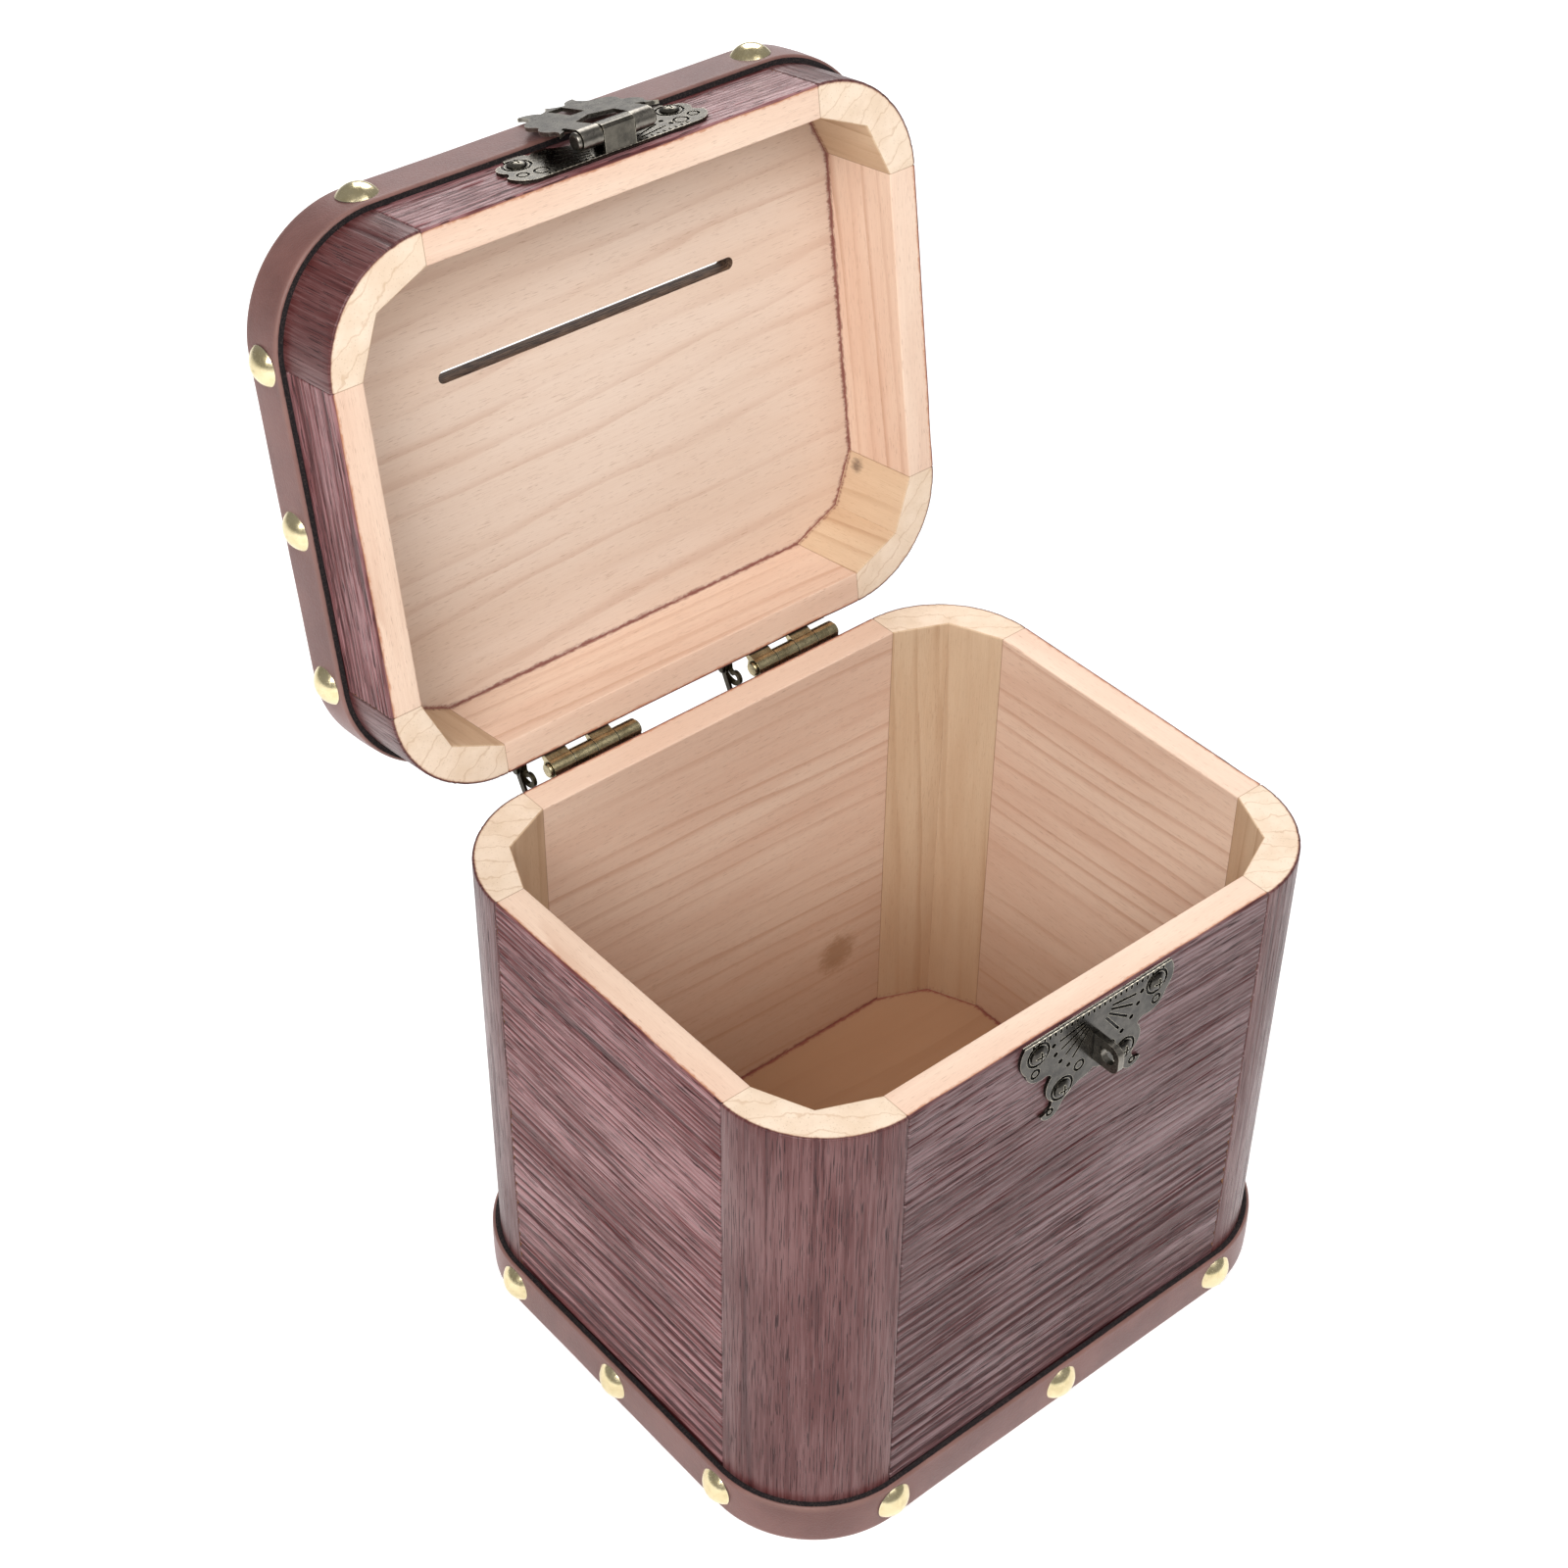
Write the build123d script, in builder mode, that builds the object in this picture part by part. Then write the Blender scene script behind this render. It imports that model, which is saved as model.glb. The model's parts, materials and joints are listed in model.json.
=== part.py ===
from build123d import *
import math
import os

# A hinged wooden donation box with a coin slot in its lid, in millimetres.
# The front, with the hasp, faces -Y. +X is to the right seen from the front. Z = 0 is the underside, and the
# origin is the centre of the footprint. The lid and all that it carries are drawn closed, and then turned
# about the hinge axis to stand open, which is how the box rests.

# Box body and lid
width = 160.0
depth = 132.0
body_height = 130.0
rim_gap = 0.4
total_height = 160.0
wall = 8.0
corner_radius = 27.0
seam_inset = 27.0
stave_waist = 13.8
bottom_thick = 6.0
top_thick = 7.0
seam_chamfer = 0.2
half_w = width / 2
half_d = depth / 2
lid_low = body_height + rim_gap
seam_x = half_w - seam_inset
seam_y = half_d - seam_inset

# Coin slot, near the lid's front edge
slot_length = 83.0
slot_width = 3.0
slot_lead = 1.8
slot_y = -21.6

# Leather bands and the tacks that hold them
band_tall = 12.0
band_thick = 1.9
band_gap = 0.3
band_round = 0.45
base_band_mid = band_tall / 2
lid_band_mid = total_height - band_tall / 2
tack_radius = 4.7
tack_tall = 2.5
tack_shank_r = 0.6
tack_shank_long = 7.5

# Lid hinges, on the outside of the back
hinge_stand_off = 3.2
hinge_y = half_d + hinge_stand_off
hinge_z = 129.2
open_angle = 98.3
hinge_centres = (-30.5, 30.5)
barrel_long = 25.0
barrel_r = 2.4
knuckle_count = 4
knuckle_gap = 0.2
hinge_pin_r = 1.2
hinge_pin_head_r = 1.8
hinge_pin_head_tall = 0.6
running_gap = 0.05
leaf_thick = 0.9
leaf_reach = 16.5
leaf_clear = 2.8
leaf_corner = 2.5
hinge_axis = Axis((0, hinge_y, hinge_z), (1, 0, 0))

# Stay of each hinge: a short link that turns on the box leaf and rides in a curved slot of the lid leaf
link_offset = 18.0
link_thick = 0.7
link_half_w = 0.8
link_eye_r = 1.6
fin_thick = 0.9
fin_gap = 0.15
rivet_r = 0.7
rivet_head_r = 1.2
rivet_head_tall = 0.5
rivet_gap = 0.1
slot_gap = 0.1
slot_steps = 8
fin_lobe = 1.8
ear_reach = (2.8, 8.0)
ear_drop = 1.5
stay_pivot = (0.9, -7.5)
stay_open_end = (4.9, 0.1)
stay_closed_angle = 90.0

# Hasp on the lid and staple on the body
plate_thick = 0.8
hasp_plate_rise = 2.0
staple_plate_drop = 0.4
hasp_stand_off = 4.6
hasp_y = -half_d - hasp_stand_off
hasp_z = lid_low + 4.4
hasp_barrel_r = 2.4
hasp_pin_r = 1.5
hasp_barrel_long = 18.8
hasp_head_r = 2.0
hasp_head_tall = 0.9
loop_wide = 8.2
loop_half = 2.35
loop_round = 2.2
flap_thick = 0.9
flap_tilt = 8.5
flap_hole_near = 12.4
flap_hole_far = 21.6
flap_hole_wide = 3.8
tongue_thick = 1.6
tongue_out = 8.4
tongue_low = body_height - 15.9
tongue_high = body_height - 8.5
shackle_out = 5.2
tongue_round = 2.6
shackle_r = 1.9
engraving = 0.3
groove = 0.65
tick_pitch = 1.6
tick_long = 1.2
hasp_axis = Axis((0, hasp_y, hasp_z), (1, 0, 0))

# Screws
screw_r = 0.9
screw_long = 7.0
screw_head_r = 2.2
screw_head_tall = 1.0
recess_long = 2.6
recess_wide = 0.5
recess_deep = 0.6
hole_gap = 0.02
hinge_screw_x = 7.5
hinge_screw_reach = 11.0
hasp_screws = ((-20.5, lid_low + 12.0), (20.5, lid_low + 12.0))
staple_screws = (
    (-17.5, body_height - 4.3),
    (17.5, body_height - 4.3),
    (-9.3, body_height - 19.3),
    (9.3, body_height - 19.3),
)

front_plane = Plane(origin=(0, -half_d, 0), x_dir=(1, 0, 0), z_dir=(0, -1, 0))
sides = ("front", "back", "left", "right")


def side_view(x):
    """A plane across X whose own axes are Y and Z, measured from the hinge axis."""
    return Plane(origin=(x, hinge_y, hinge_z), x_dir=(0, 1, 0), z_dir=(1, 0, 0))


def save(piece, name):
    piece.label = name
    export_step(piece, f"parts/{name}.step")


def opened(piece):
    """The piece as it stands with the lid open."""
    return piece.rotate(hinge_axis, -open_angle)


def folded(piece):
    """The hasp flap laid back on the lid's band, with the lid open."""
    return opened(piece.rotate(hasp_axis, -flap_tilt))


# Places of tacks and screws


def tack_places(z, front_middle):
    """Places on the outside of the box at height z, each with its own Z axis pointing away from the wood."""
    places = []
    for x in (-seam_x, 0, seam_x):
        if x != 0 or front_middle:
            places.append(Plane(origin=(x, -half_d - band_thick, z), z_dir=(0, -1, 0)).location)
        places.append(Plane(origin=(x, half_d + band_thick, z), z_dir=(0, 1, 0)).location)
    for y in (-seam_y, 0, seam_y):
        places.append(Plane(origin=(-half_w - band_thick, y, z), z_dir=(-1, 0, 0)).location)
        places.append(Plane(origin=(half_w + band_thick, y, z), z_dir=(1, 0, 0)).location)
    return places


def front_places(spots):
    """Places of screw heads on a front plate, from (x, z) pairs."""
    return [Plane(origin=(x, -half_d - plate_thick, z), z_dir=(0, -1, 0)).location for x, z in spots]


def hinge_screw_places(side):
    """Screw places in the leaves of both hinges: side is -1 for the box leaves and 1 for the lid leaves."""
    z = hinge_z + side * hinge_screw_reach
    places = []
    for centre in hinge_centres:
        for x in (centre - hinge_screw_x, centre + hinge_screw_x):
            places.append(Plane(origin=(x, half_d + leaf_thick, z), z_dir=(0, 1, 0)).location)
    return places


def wood_holes(z, front_middle, side):
    """Holes that every wooden piece of the body or the lid may share: (places, radius, depth)."""
    front_spots = staple_screws if side < 0 else hasp_screws
    return (
        (tack_places(z, front_middle), tack_shank_r + hole_gap, tack_shank_long),
        (front_places(front_spots), screw_r + hole_gap, screw_long),
        (hinge_screw_places(side), screw_r + hole_gap, screw_long),
    )


# Woodwork


def inner_corner_points():
    """The inside outline of the walls, anticlockwise: two facets across each corner."""
    near = seam_inset - wall
    waist = stave_waist - wall
    inner_w = half_w - wall
    inner_d = half_d - wall
    points = []
    for sx, sy in ((1, -1), (1, 1), (-1, 1), (-1, -1)):
        corner = [
            (sx * (inner_w - near), sy * inner_d),
            (sx * (inner_w - waist), sy * (inner_d - waist)),
            (sx * inner_w, sy * (inner_d - near)),
        ]
        points += corner if sx * sy < 0 else corner[::-1]
    return points


def make_board(side, low, high, holes):
    """A straight board or rail between two corners."""
    along_x = side in ("front", "back")
    long = 2 * seam_x if along_x else 2 * seam_y
    out = -1 if side in ("front", "left") else 1
    centre = (0, out * (half_d - wall / 2)) if along_x else (out * (half_w - wall / 2), 0)
    across = Axis.Y if along_x else Axis.X
    with BuildPart() as board:
        with BuildSketch(Plane.XY.offset(low)) as outline:
            with Locations(centre):
                Rectangle(long if along_x else wall, wall if along_x else long)
            outer = outline.vertices().group_by(across)[-1 if out > 0 else 0]
            chamfer(outer, seam_chamfer)
        extrude(amount=high - low)
        for places, radius, deep in holes:
            with Locations(*places):
                Hole(radius, deep)
    return board.part


def make_stave(sx, sy, faces_y, low, high, holes):
    """One of the two upright staves of a corner. faces_y marks the one next to the front or back board."""

    def corner_point(u, v):
        if not faces_y:
            u, v = v, u
        return (sx * (half_w - u), sy * (half_d - v))

    diagonal = corner_radius * (1 - math.cos(math.radians(45)))
    mid_run = corner_radius * math.sin(math.radians(22.5))
    bulge = corner_radius * (1 - math.cos(math.radians(22.5)))
    seam_fall = corner_radius - math.sqrt(corner_radius**2 - seam_chamfer**2)
    outer_end = corner_point(corner_radius - seam_chamfer, seam_fall)
    with BuildPart() as stave:
        with BuildSketch(Plane.XY.offset(low)):
            with BuildLine():
                Polyline(
                    outer_end,
                    corner_point(seam_inset, seam_chamfer),
                    corner_point(seam_inset, wall),
                    corner_point(stave_waist, stave_waist),
                    corner_point(diagonal, diagonal),
                )
                ThreePointArc(
                    corner_point(diagonal, diagonal),
                    corner_point(corner_radius - mid_run, bulge),
                    outer_end,
                )
            make_face()
        extrude(amount=high - low)
        for places, radius, deep in holes:
            with Locations(*places):
                Hole(radius, deep)
    return stave.part


def make_bottom_panel():
    with BuildPart() as bottom_panel:
        with BuildSketch():
            Polygon(*inner_corner_points(), align=None)
        extrude(amount=bottom_thick)
    return bottom_panel.part


def make_top_panel():
    """The lid's panel. The coin slot widens towards the outside, to lead a coin in."""
    with BuildPart() as top_panel:
        with BuildSketch(Plane.XY.offset(total_height - top_thick)):
            Polygon(*inner_corner_points(), align=None)
            with Locations((0, slot_y)):
                SlotOverall(slot_length, slot_width, mode=Mode.SUBTRACT)
        extrude(amount=top_thick)
        slot_rim = top_panel.faces().sort_by(Axis.Z)[-1].inner_wires()[0]
        chamfer(slot_rim.edges(), slot_lead)
    return top_panel.part


# Leather bands and tacks


def make_band(low, places):
    """A leather strip round the outside, its ends meeting at the middle of the back."""
    with BuildPart() as band:
        with BuildSketch(Plane.XY.offset(low)):
            RectangleRounded(width + 2 * band_thick, depth + 2 * band_thick, corner_radius + band_thick)
            RectangleRounded(width, depth, corner_radius, mode=Mode.SUBTRACT)
            with Locations((0, half_d)):
                Rectangle(band_gap, 4 * band_thick, mode=Mode.SUBTRACT)
        extrude(amount=band_tall)
        rims = band.faces().filter_by(Axis.Z)
        outer_edges = []
        for rim in (rims.sort_by(Axis.Z)[0], rims.sort_by(Axis.Z)[-1]):
            for edge in rim.edges():
                middle = edge.position_at(0.5)
                on_flat = max(abs(middle.X) - half_w, abs(middle.Y) - half_d)
                from_arc = math.hypot(abs(middle.X) - seam_x, abs(middle.Y) - seam_y) - corner_radius
                is_arc = edge.geom_type == GeomType.CIRCLE
                if (is_arc and from_arc > band_thick / 2) or (not is_arc and on_flat > band_thick * 0.9):
                    outer_edges.append(edge)
        fillet(outer_edges, band_round)
        with Locations(*places):
            Hole(tack_shank_r + hole_gap, 2 * band_thick)
    return band.part


def make_tack():
    """A domed tack head with its nail, standing on Z = 0."""
    dome_r = (tack_radius**2 + tack_tall**2) / (2 * tack_tall)
    lean = math.asin(tack_radius / dome_r) / 2
    dome_mid = (dome_r * math.sin(lean), tack_tall - dome_r * (1 - math.cos(lean)))
    point = -tack_shank_long
    with BuildPart() as tack:
        with BuildSketch(Plane.XZ):
            with BuildLine():
                ThreePointArc((0, tack_tall), dome_mid, (tack_radius, 0))
                Polyline(
                    (tack_radius, 0),
                    (tack_shank_r, 0),
                    (tack_shank_r, point + 2 * tack_shank_r),
                    (0, point),
                    (0, tack_tall),
                )
            make_face()
        revolve(axis=Axis.Z)
    return tack.part


def make_group(piece, places):
    """Copies of one fastener, as separate solids."""
    with BuildPart() as group:
        with Locations(*places):
            add(piece)
    return group.part


def make_screw():
    """A round-headed cross-recess screw, its head standing on Z = 0."""
    crown = screw_head_tall * 0.35
    with BuildPart() as screw:
        with BuildSketch(Plane.XZ):
            with BuildLine():
                Polyline(
                    (0, screw_head_tall),
                    (0, -screw_long + plate_thick),
                    (screw_r, -screw_long + plate_thick + 2 * screw_r),
                    (screw_r, 0),
                    (screw_head_r, 0),
                    (screw_head_r, crown),
                )
                ThreePointArc(
                    (screw_head_r, crown),
                    (screw_head_r * 0.6, screw_head_tall * 0.86),
                    (0, screw_head_tall),
                )
            make_face()
        revolve(axis=Axis.Z)
        with BuildSketch(Plane.XY.offset(screw_head_tall - recess_deep)):
            Rectangle(recess_long, recess_wide)
            Rectangle(recess_wide, recess_long)
        extrude(amount=2 * recess_deep, mode=Mode.SUBTRACT)
    return screw.part


# Hinges and their stays


def turned(point, angle):
    """A point of the side view turned about the hinge axis."""
    c = math.cos(math.radians(angle))
    s = math.sin(math.radians(angle))
    return (point[0] * c - point[1] * s, point[0] * s + point[1] * c)


stay_run = (stay_open_end[0] - stay_pivot[0], stay_open_end[1] - stay_pivot[1])
link_long = math.hypot(*stay_run)
stay_open_angle = math.degrees(math.atan2(stay_run[1], stay_run[0]))
stay_ratio = (stay_closed_angle - stay_open_angle) / open_angle


def stay_slot_point(lid_angle):
    """Where the link's free end sits on the closed lid leaf when the lid has come down by lid_angle."""
    lean = math.radians(stay_open_angle + stay_ratio * lid_angle)
    end = (
        stay_pivot[0] + link_long * math.cos(lean),
        stay_pivot[1] + link_long * math.sin(lean),
    )
    return turned(end, open_angle - lid_angle)


def stay_slot_runs():
    """The slot's centre line as short straight runs: each one's middle with its direction, and its length."""
    points = [stay_slot_point(open_angle * k / slot_steps) for k in range(slot_steps + 1)]
    runs = []
    for (x0, y0), (x1, y1) in zip(points, points[1:]):
        lean = math.degrees(math.atan2(y1 - y0, x1 - x0))
        middle = Location(((x0 + x1) / 2, (y0 + y1) / 2, 0), (0, 0, lean))
        runs.append((middle, math.hypot(x1 - x0, y1 - y0)))
    return runs


def make_leaf(centre, on_lid):
    """One leaf of a hinge: plate, two knuckles, and the fin that carries the stay."""
    side = 1 if on_lid else -1
    left = centre - barrel_long / 2
    pitch = barrel_long / knuckle_count
    face = -hinge_stand_off
    fin_right = centre - link_offset + link_thick / 2 + fin_gap + fin_thick
    ear_low, ear_high = ear_reach if on_lid else (-ear_reach[1] - ear_drop, -ear_reach[0] - ear_drop)
    plate_plane = Plane(origin=(centre, half_d, hinge_z), x_dir=(-1, 0, 0), z_dir=(0, 1, 0))
    with BuildPart() as leaf:
        with BuildSketch(plate_plane) as plate:
            with Locations((0, side * (leaf_clear + leaf_reach) / 2)):
                Rectangle(barrel_long, leaf_reach - leaf_clear)
            fillet(plate.vertices().group_by(Axis.Y)[-1 if on_lid else 0], leaf_corner)
        extrude(amount=leaf_thick)
        for k in range(0 if on_lid else 1, knuckle_count, 2):
            with BuildSketch(side_view(left + k * pitch + knuckle_gap / 2)):
                Circle(barrel_r)
                with BuildLine():
                    Polyline(
                        (face, side * leaf_clear),
                        (face + leaf_thick, side * leaf_clear),
                        (-barrel_r * 0.5, side * barrel_r * 0.8),
                        (-barrel_r, 0),
                        (face, side * barrel_r * 0.66),
                        close=True,
                    )
                make_face()
                Circle(hinge_pin_r + running_gap, mode=Mode.SUBTRACT)
            extrude(amount=pitch - knuckle_gap)
        with BuildSketch(side_view(fin_right)):
            with Locations((face + leaf_thick / 2, (ear_low + ear_high) / 2)):
                Rectangle(leaf_thick, ear_high - ear_low)
        extrude(amount=left - fin_right + leaf_corner)
        with BuildSketch(side_view(fin_right - fin_thick)):
            if on_lid:
                start = stay_slot_point(0)
                Polygon(
                    (face, ear_high),
                    (start[0], start[1] + fin_lobe),
                    (start[0], ear_low),
                    (face, ear_low),
                    align=None,
                )
                for middle, length in stay_slot_runs():
                    with Locations(middle):
                        SlotCenterToCenter(length, 2 * fin_lobe)
                for middle, length in stay_slot_runs():
                    with Locations(middle):
                        SlotCenterToCenter(length, 2 * (rivet_r + slot_gap), mode=Mode.SUBTRACT)
            else:
                with Locations(((face + stay_pivot[0]) / 2, stay_pivot[1])):
                    Rectangle(stay_pivot[0] - face, ear_high - ear_low)
                with Locations(stay_pivot):
                    Circle((ear_high - ear_low) / 2)
                    Circle(rivet_r + hole_gap, mode=Mode.SUBTRACT)
        extrude(amount=fin_thick)
        with Locations(*hinge_screw_places(side)):
            Hole(screw_r + hole_gap, 2 * leaf_thick)
    return leaf.part


def make_hinge_pin(centre):
    left = centre - barrel_long / 2
    with BuildPart() as pin:
        with BuildSketch(side_view(left - knuckle_gap / 2)):
            Circle(hinge_pin_r)
        extrude(amount=barrel_long + knuckle_gap)
        for x, toward in ((left - knuckle_gap / 2, -1), (left + barrel_long + knuckle_gap / 2, 1)):
            with BuildSketch(side_view(x)):
                Circle(hinge_pin_head_r)
            extrude(amount=toward * hinge_pin_head_tall)
        ends = pin.faces().filter_by(Axis.X).sort_by(Axis.X)
        fillet([ends[0].edge(), ends[-1].edge()], hinge_pin_head_tall * 0.6)
    return pin.part


def make_stay_link(centre):
    """The link as it lies with the lid open: an eye on the box leaf's rivet, an eye for the sliding rivet."""
    mid = ((stay_pivot[0] + stay_open_end[0]) / 2, (stay_pivot[1] + stay_open_end[1]) / 2)
    with BuildPart() as link:
        with BuildSketch(side_view(centre - link_offset - link_thick / 2)):
            with Locations(Location((mid[0], mid[1], 0), (0, 0, stay_open_angle))):
                Rectangle(link_long, 2 * link_half_w)
            with Locations(stay_pivot, stay_open_end):
                Circle(link_eye_r)
            with Locations(stay_pivot):
                Circle(rivet_r + running_gap, mode=Mode.SUBTRACT)
            with Locations(stay_open_end):
                Circle(rivet_r + hole_gap, mode=Mode.SUBTRACT)
        extrude(amount=link_thick)
    return link.part


def make_rivet(centre, place):
    """A rivet through the link and a fin, with a little room under the head on each outer side."""
    shank_low = centre - link_offset - link_thick / 2 - rivet_gap
    shank_high = centre - link_offset + link_thick / 2 + fin_gap + fin_thick + rivet_gap
    with BuildPart() as rivet:
        with BuildSketch(side_view(shank_low)):
            with Locations(place):
                Circle(rivet_r)
        extrude(amount=shank_high - shank_low)
        for x, toward in ((shank_low, -1), (shank_high, 1)):
            with BuildSketch(side_view(x)):
                with Locations(place):
                    Circle(rivet_head_r)
            extrude(amount=toward * rivet_head_tall)
        ends = rivet.faces().filter_by(Axis.X).sort_by(Axis.X)
        fillet([ends[0].edge(), ends[-1].edge()], rivet_head_tall * 0.6)
    return rivet.part


# Hasp and staple


def cut_pattern(centre, angles, near, far, dot_at, rings):
    """The engraved pattern of a plate as one flat sketch on the front plane: rays, dots and rings."""
    with BuildSketch(mode=Mode.PRIVATE) as pattern:
        for angle in angles:
            with Locations(Location((centre[0], centre[1], 0), (0, 0, angle))):
                with Locations(((near + far) / 2, 0)):
                    SlotOverall(far - near, groove)
                with Locations((dot_at, 0)):
                    Circle(groove)
        for x, z, radius in rings:
            with Locations((-x, z), (x, z)):
                Circle(radius + groove / 2)
                Circle(radius - groove / 2, mode=Mode.SUBTRACT)
    return pattern.sketch


def cut_ticks(z, reach):
    """Short upright ticks in a row along a plate's straight edge."""
    count = int(2 * reach / tick_pitch)
    with BuildSketch(mode=Mode.PRIVATE) as ticks:
        with Locations((0, z)):
            with GridLocations(tick_pitch, 1, count, 1):
                SlotOverall(tick_long, groove, rotation=90)
    return ticks.sketch


def make_hasp_plate():
    """The lid's plate, with the loop bent out of its lower edge round the hasp pin."""
    low = lid_low + hasp_plate_rise
    outer_face = front_plane.offset(plate_thick)
    with BuildPart() as plate:
        with BuildSketch(front_plane):
            with BuildLine():
                Line((0, low), (20.5, low))
                ThreePointArc((20.5, low), (24.6, low + 1.6), (26.2, low + 5.4))
                ThreePointArc((26.2, low + 5.4), (25.1, low + 6.2), (24.7, low + 7.6))
                ThreePointArc((24.7, low + 7.6), (25.4, low + 10.6), (23.0, low + 12.4))
                ThreePointArc((23.0, low + 12.4), (21.8, low + 12.9), (21.2, low + 14.2))
                ThreePointArc((21.2, low + 14.2), (18.0, low + 14.6), (15.4, low + 12.6))
                ThreePointArc((15.4, low + 12.6), (12.6, low + 13.8), (9.6, low + 12.2))
                ThreePointArc((9.6, low + 12.2), (5.0, low + 10.4), (0, low + 11.6))
                mirror(about=Plane.YZ)
            make_face()
        extrude(amount=plate_thick)
        with BuildSketch(Plane(origin=(-loop_wide / 2, hasp_y, hasp_z), x_dir=(0, 1, 0), z_dir=(1, 0, 0))) as loop:
            with Locations((-hasp_barrel_r, 0)):
                Rectangle(hasp_stand_off + hasp_barrel_r, 2 * loop_half, align=(Align.MIN, Align.CENTER))
            outer = loop.vertices().group_by(Axis.X)[0].sort_by(Axis.Y)
            fillet(outer[-1], loop_round)
            outer = loop.vertices().group_by(Axis.Y)[0].sort_by(Axis.X)
            fillet(outer[0], loop_round * 0.4)
            with Locations((-hasp_pin_r - running_gap, 0)):
                RectangleRounded(
                    hasp_stand_off - plate_thick + hasp_pin_r + running_gap,
                    2 * (hasp_pin_r + running_gap),
                    hasp_pin_r * 0.5,
                    align=(Align.MIN, Align.CENTER),
                    mode=Mode.SUBTRACT,
                )
        extrude(amount=loop_wide)
        pattern = cut_pattern(
            (0, low + groove),
            (10, 20, 31, 44, 136, 149, 160, 170),
            6.5,
            14.5,
            16.2,
            ((20.5, lid_low + 12.0, 3.1), (22.8, low + 4.4, 1.2), (18.6, low + 3.4, 1.6), (12.6, low + 11.0, 1.1)),
        )
        with BuildSketch(outer_face):
            add(pattern)
            add(cut_ticks(low + 0.8, 19.5))
        extrude(amount=-engraving, mode=Mode.SUBTRACT)
        with Locations(*front_places(hasp_screws)):
            Hole(screw_r + hole_gap, 2 * plate_thick)
    return plate.part


def make_hasp_flap():
    """The flap standing straight up from its barrel. Its far edge has three points, like a leaf."""
    inner_face = hasp_y - hasp_barrel_r + flap_thick
    flap_plane = Plane(origin=(0, inner_face, hasp_z), x_dir=(1, 0, 0), z_dir=(0, -1, 0))
    side_long = (hasp_barrel_long - loop_wide - 2 * knuckle_gap) / 2
    with BuildPart() as flap:
        with BuildSketch(flap_plane):
            with BuildLine():
                Polyline((0, 0), (hasp_barrel_long / 2, 0), (hasp_barrel_long / 2, 4.4))
                ThreePointArc((hasp_barrel_long / 2, 4.4), (10.6, 3.6), (10.8, 2.2))
                Line((10.8, 2.2), (13.2, 0.6))
                ThreePointArc((13.2, 0.6), (12.0, 3.0), (12.7, 5.4))
                ThreePointArc((12.7, 5.4), (12.9, 8.6), (11.3, 11.0))
                ThreePointArc((11.3, 11.0), (11.2, 12.2), (11.6, 13.4))
                ThreePointArc((11.6, 13.4), (11.0, 17.2), (8.2, 19.0))
                ThreePointArc((8.2, 19.0), (6.9, 21.8), (7.5, 25.2))
                ThreePointArc((7.5, 25.2), (4.6, 24.2), (3.4, 21.9))
                ThreePointArc((3.4, 21.9), (1.4, 23.0), (0, 25.4))
                mirror(about=Plane.YZ)
            make_face()
            Polygon((-4.7, -1), (4.7, -1), (5.1, 6.2), (0, 8.7), (-5.1, 6.2), align=None, mode=Mode.SUBTRACT)
            with Locations((0, (flap_hole_near + flap_hole_far) / 2)):
                Rectangle(flap_hole_wide, flap_hole_far - flap_hole_near, mode=Mode.SUBTRACT)
        extrude(amount=flap_thick)
        for x in (-hasp_barrel_long / 2, hasp_barrel_long / 2 - side_long):
            with BuildSketch(Plane(origin=(x, hasp_y, hasp_z), x_dir=(0, 1, 0), z_dir=(1, 0, 0))):
                Circle(hasp_barrel_r)
            extrude(amount=side_long)
        with BuildSketch(Plane(origin=(0, hasp_y, hasp_z), x_dir=(0, 1, 0), z_dir=(1, 0, 0))):
            Circle(hasp_pin_r + running_gap)
        extrude(amount=hasp_barrel_long, both=True, mode=Mode.SUBTRACT)
    return flap.part


def make_hasp_pin():
    half = hasp_barrel_long / 2 + knuckle_gap
    with BuildPart() as pin:
        with BuildSketch(Plane(origin=(0, hasp_y, hasp_z), x_dir=(0, 1, 0), z_dir=(1, 0, 0))):
            Circle(hasp_pin_r)
        extrude(amount=half, both=True)
        for toward in (-1, 1):
            with BuildSketch(Plane(origin=(toward * half, hasp_y, hasp_z), x_dir=(0, 1, 0), z_dir=(1, 0, 0))):
                Circle(hasp_head_r)
            extrude(amount=toward * hasp_head_tall)
        ends = pin.faces().filter_by(Axis.X).sort_by(Axis.X)
        fillet([ends[0].edge(), ends[-1].edge()], hasp_head_tall * 0.8)
    return pin.part


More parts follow.
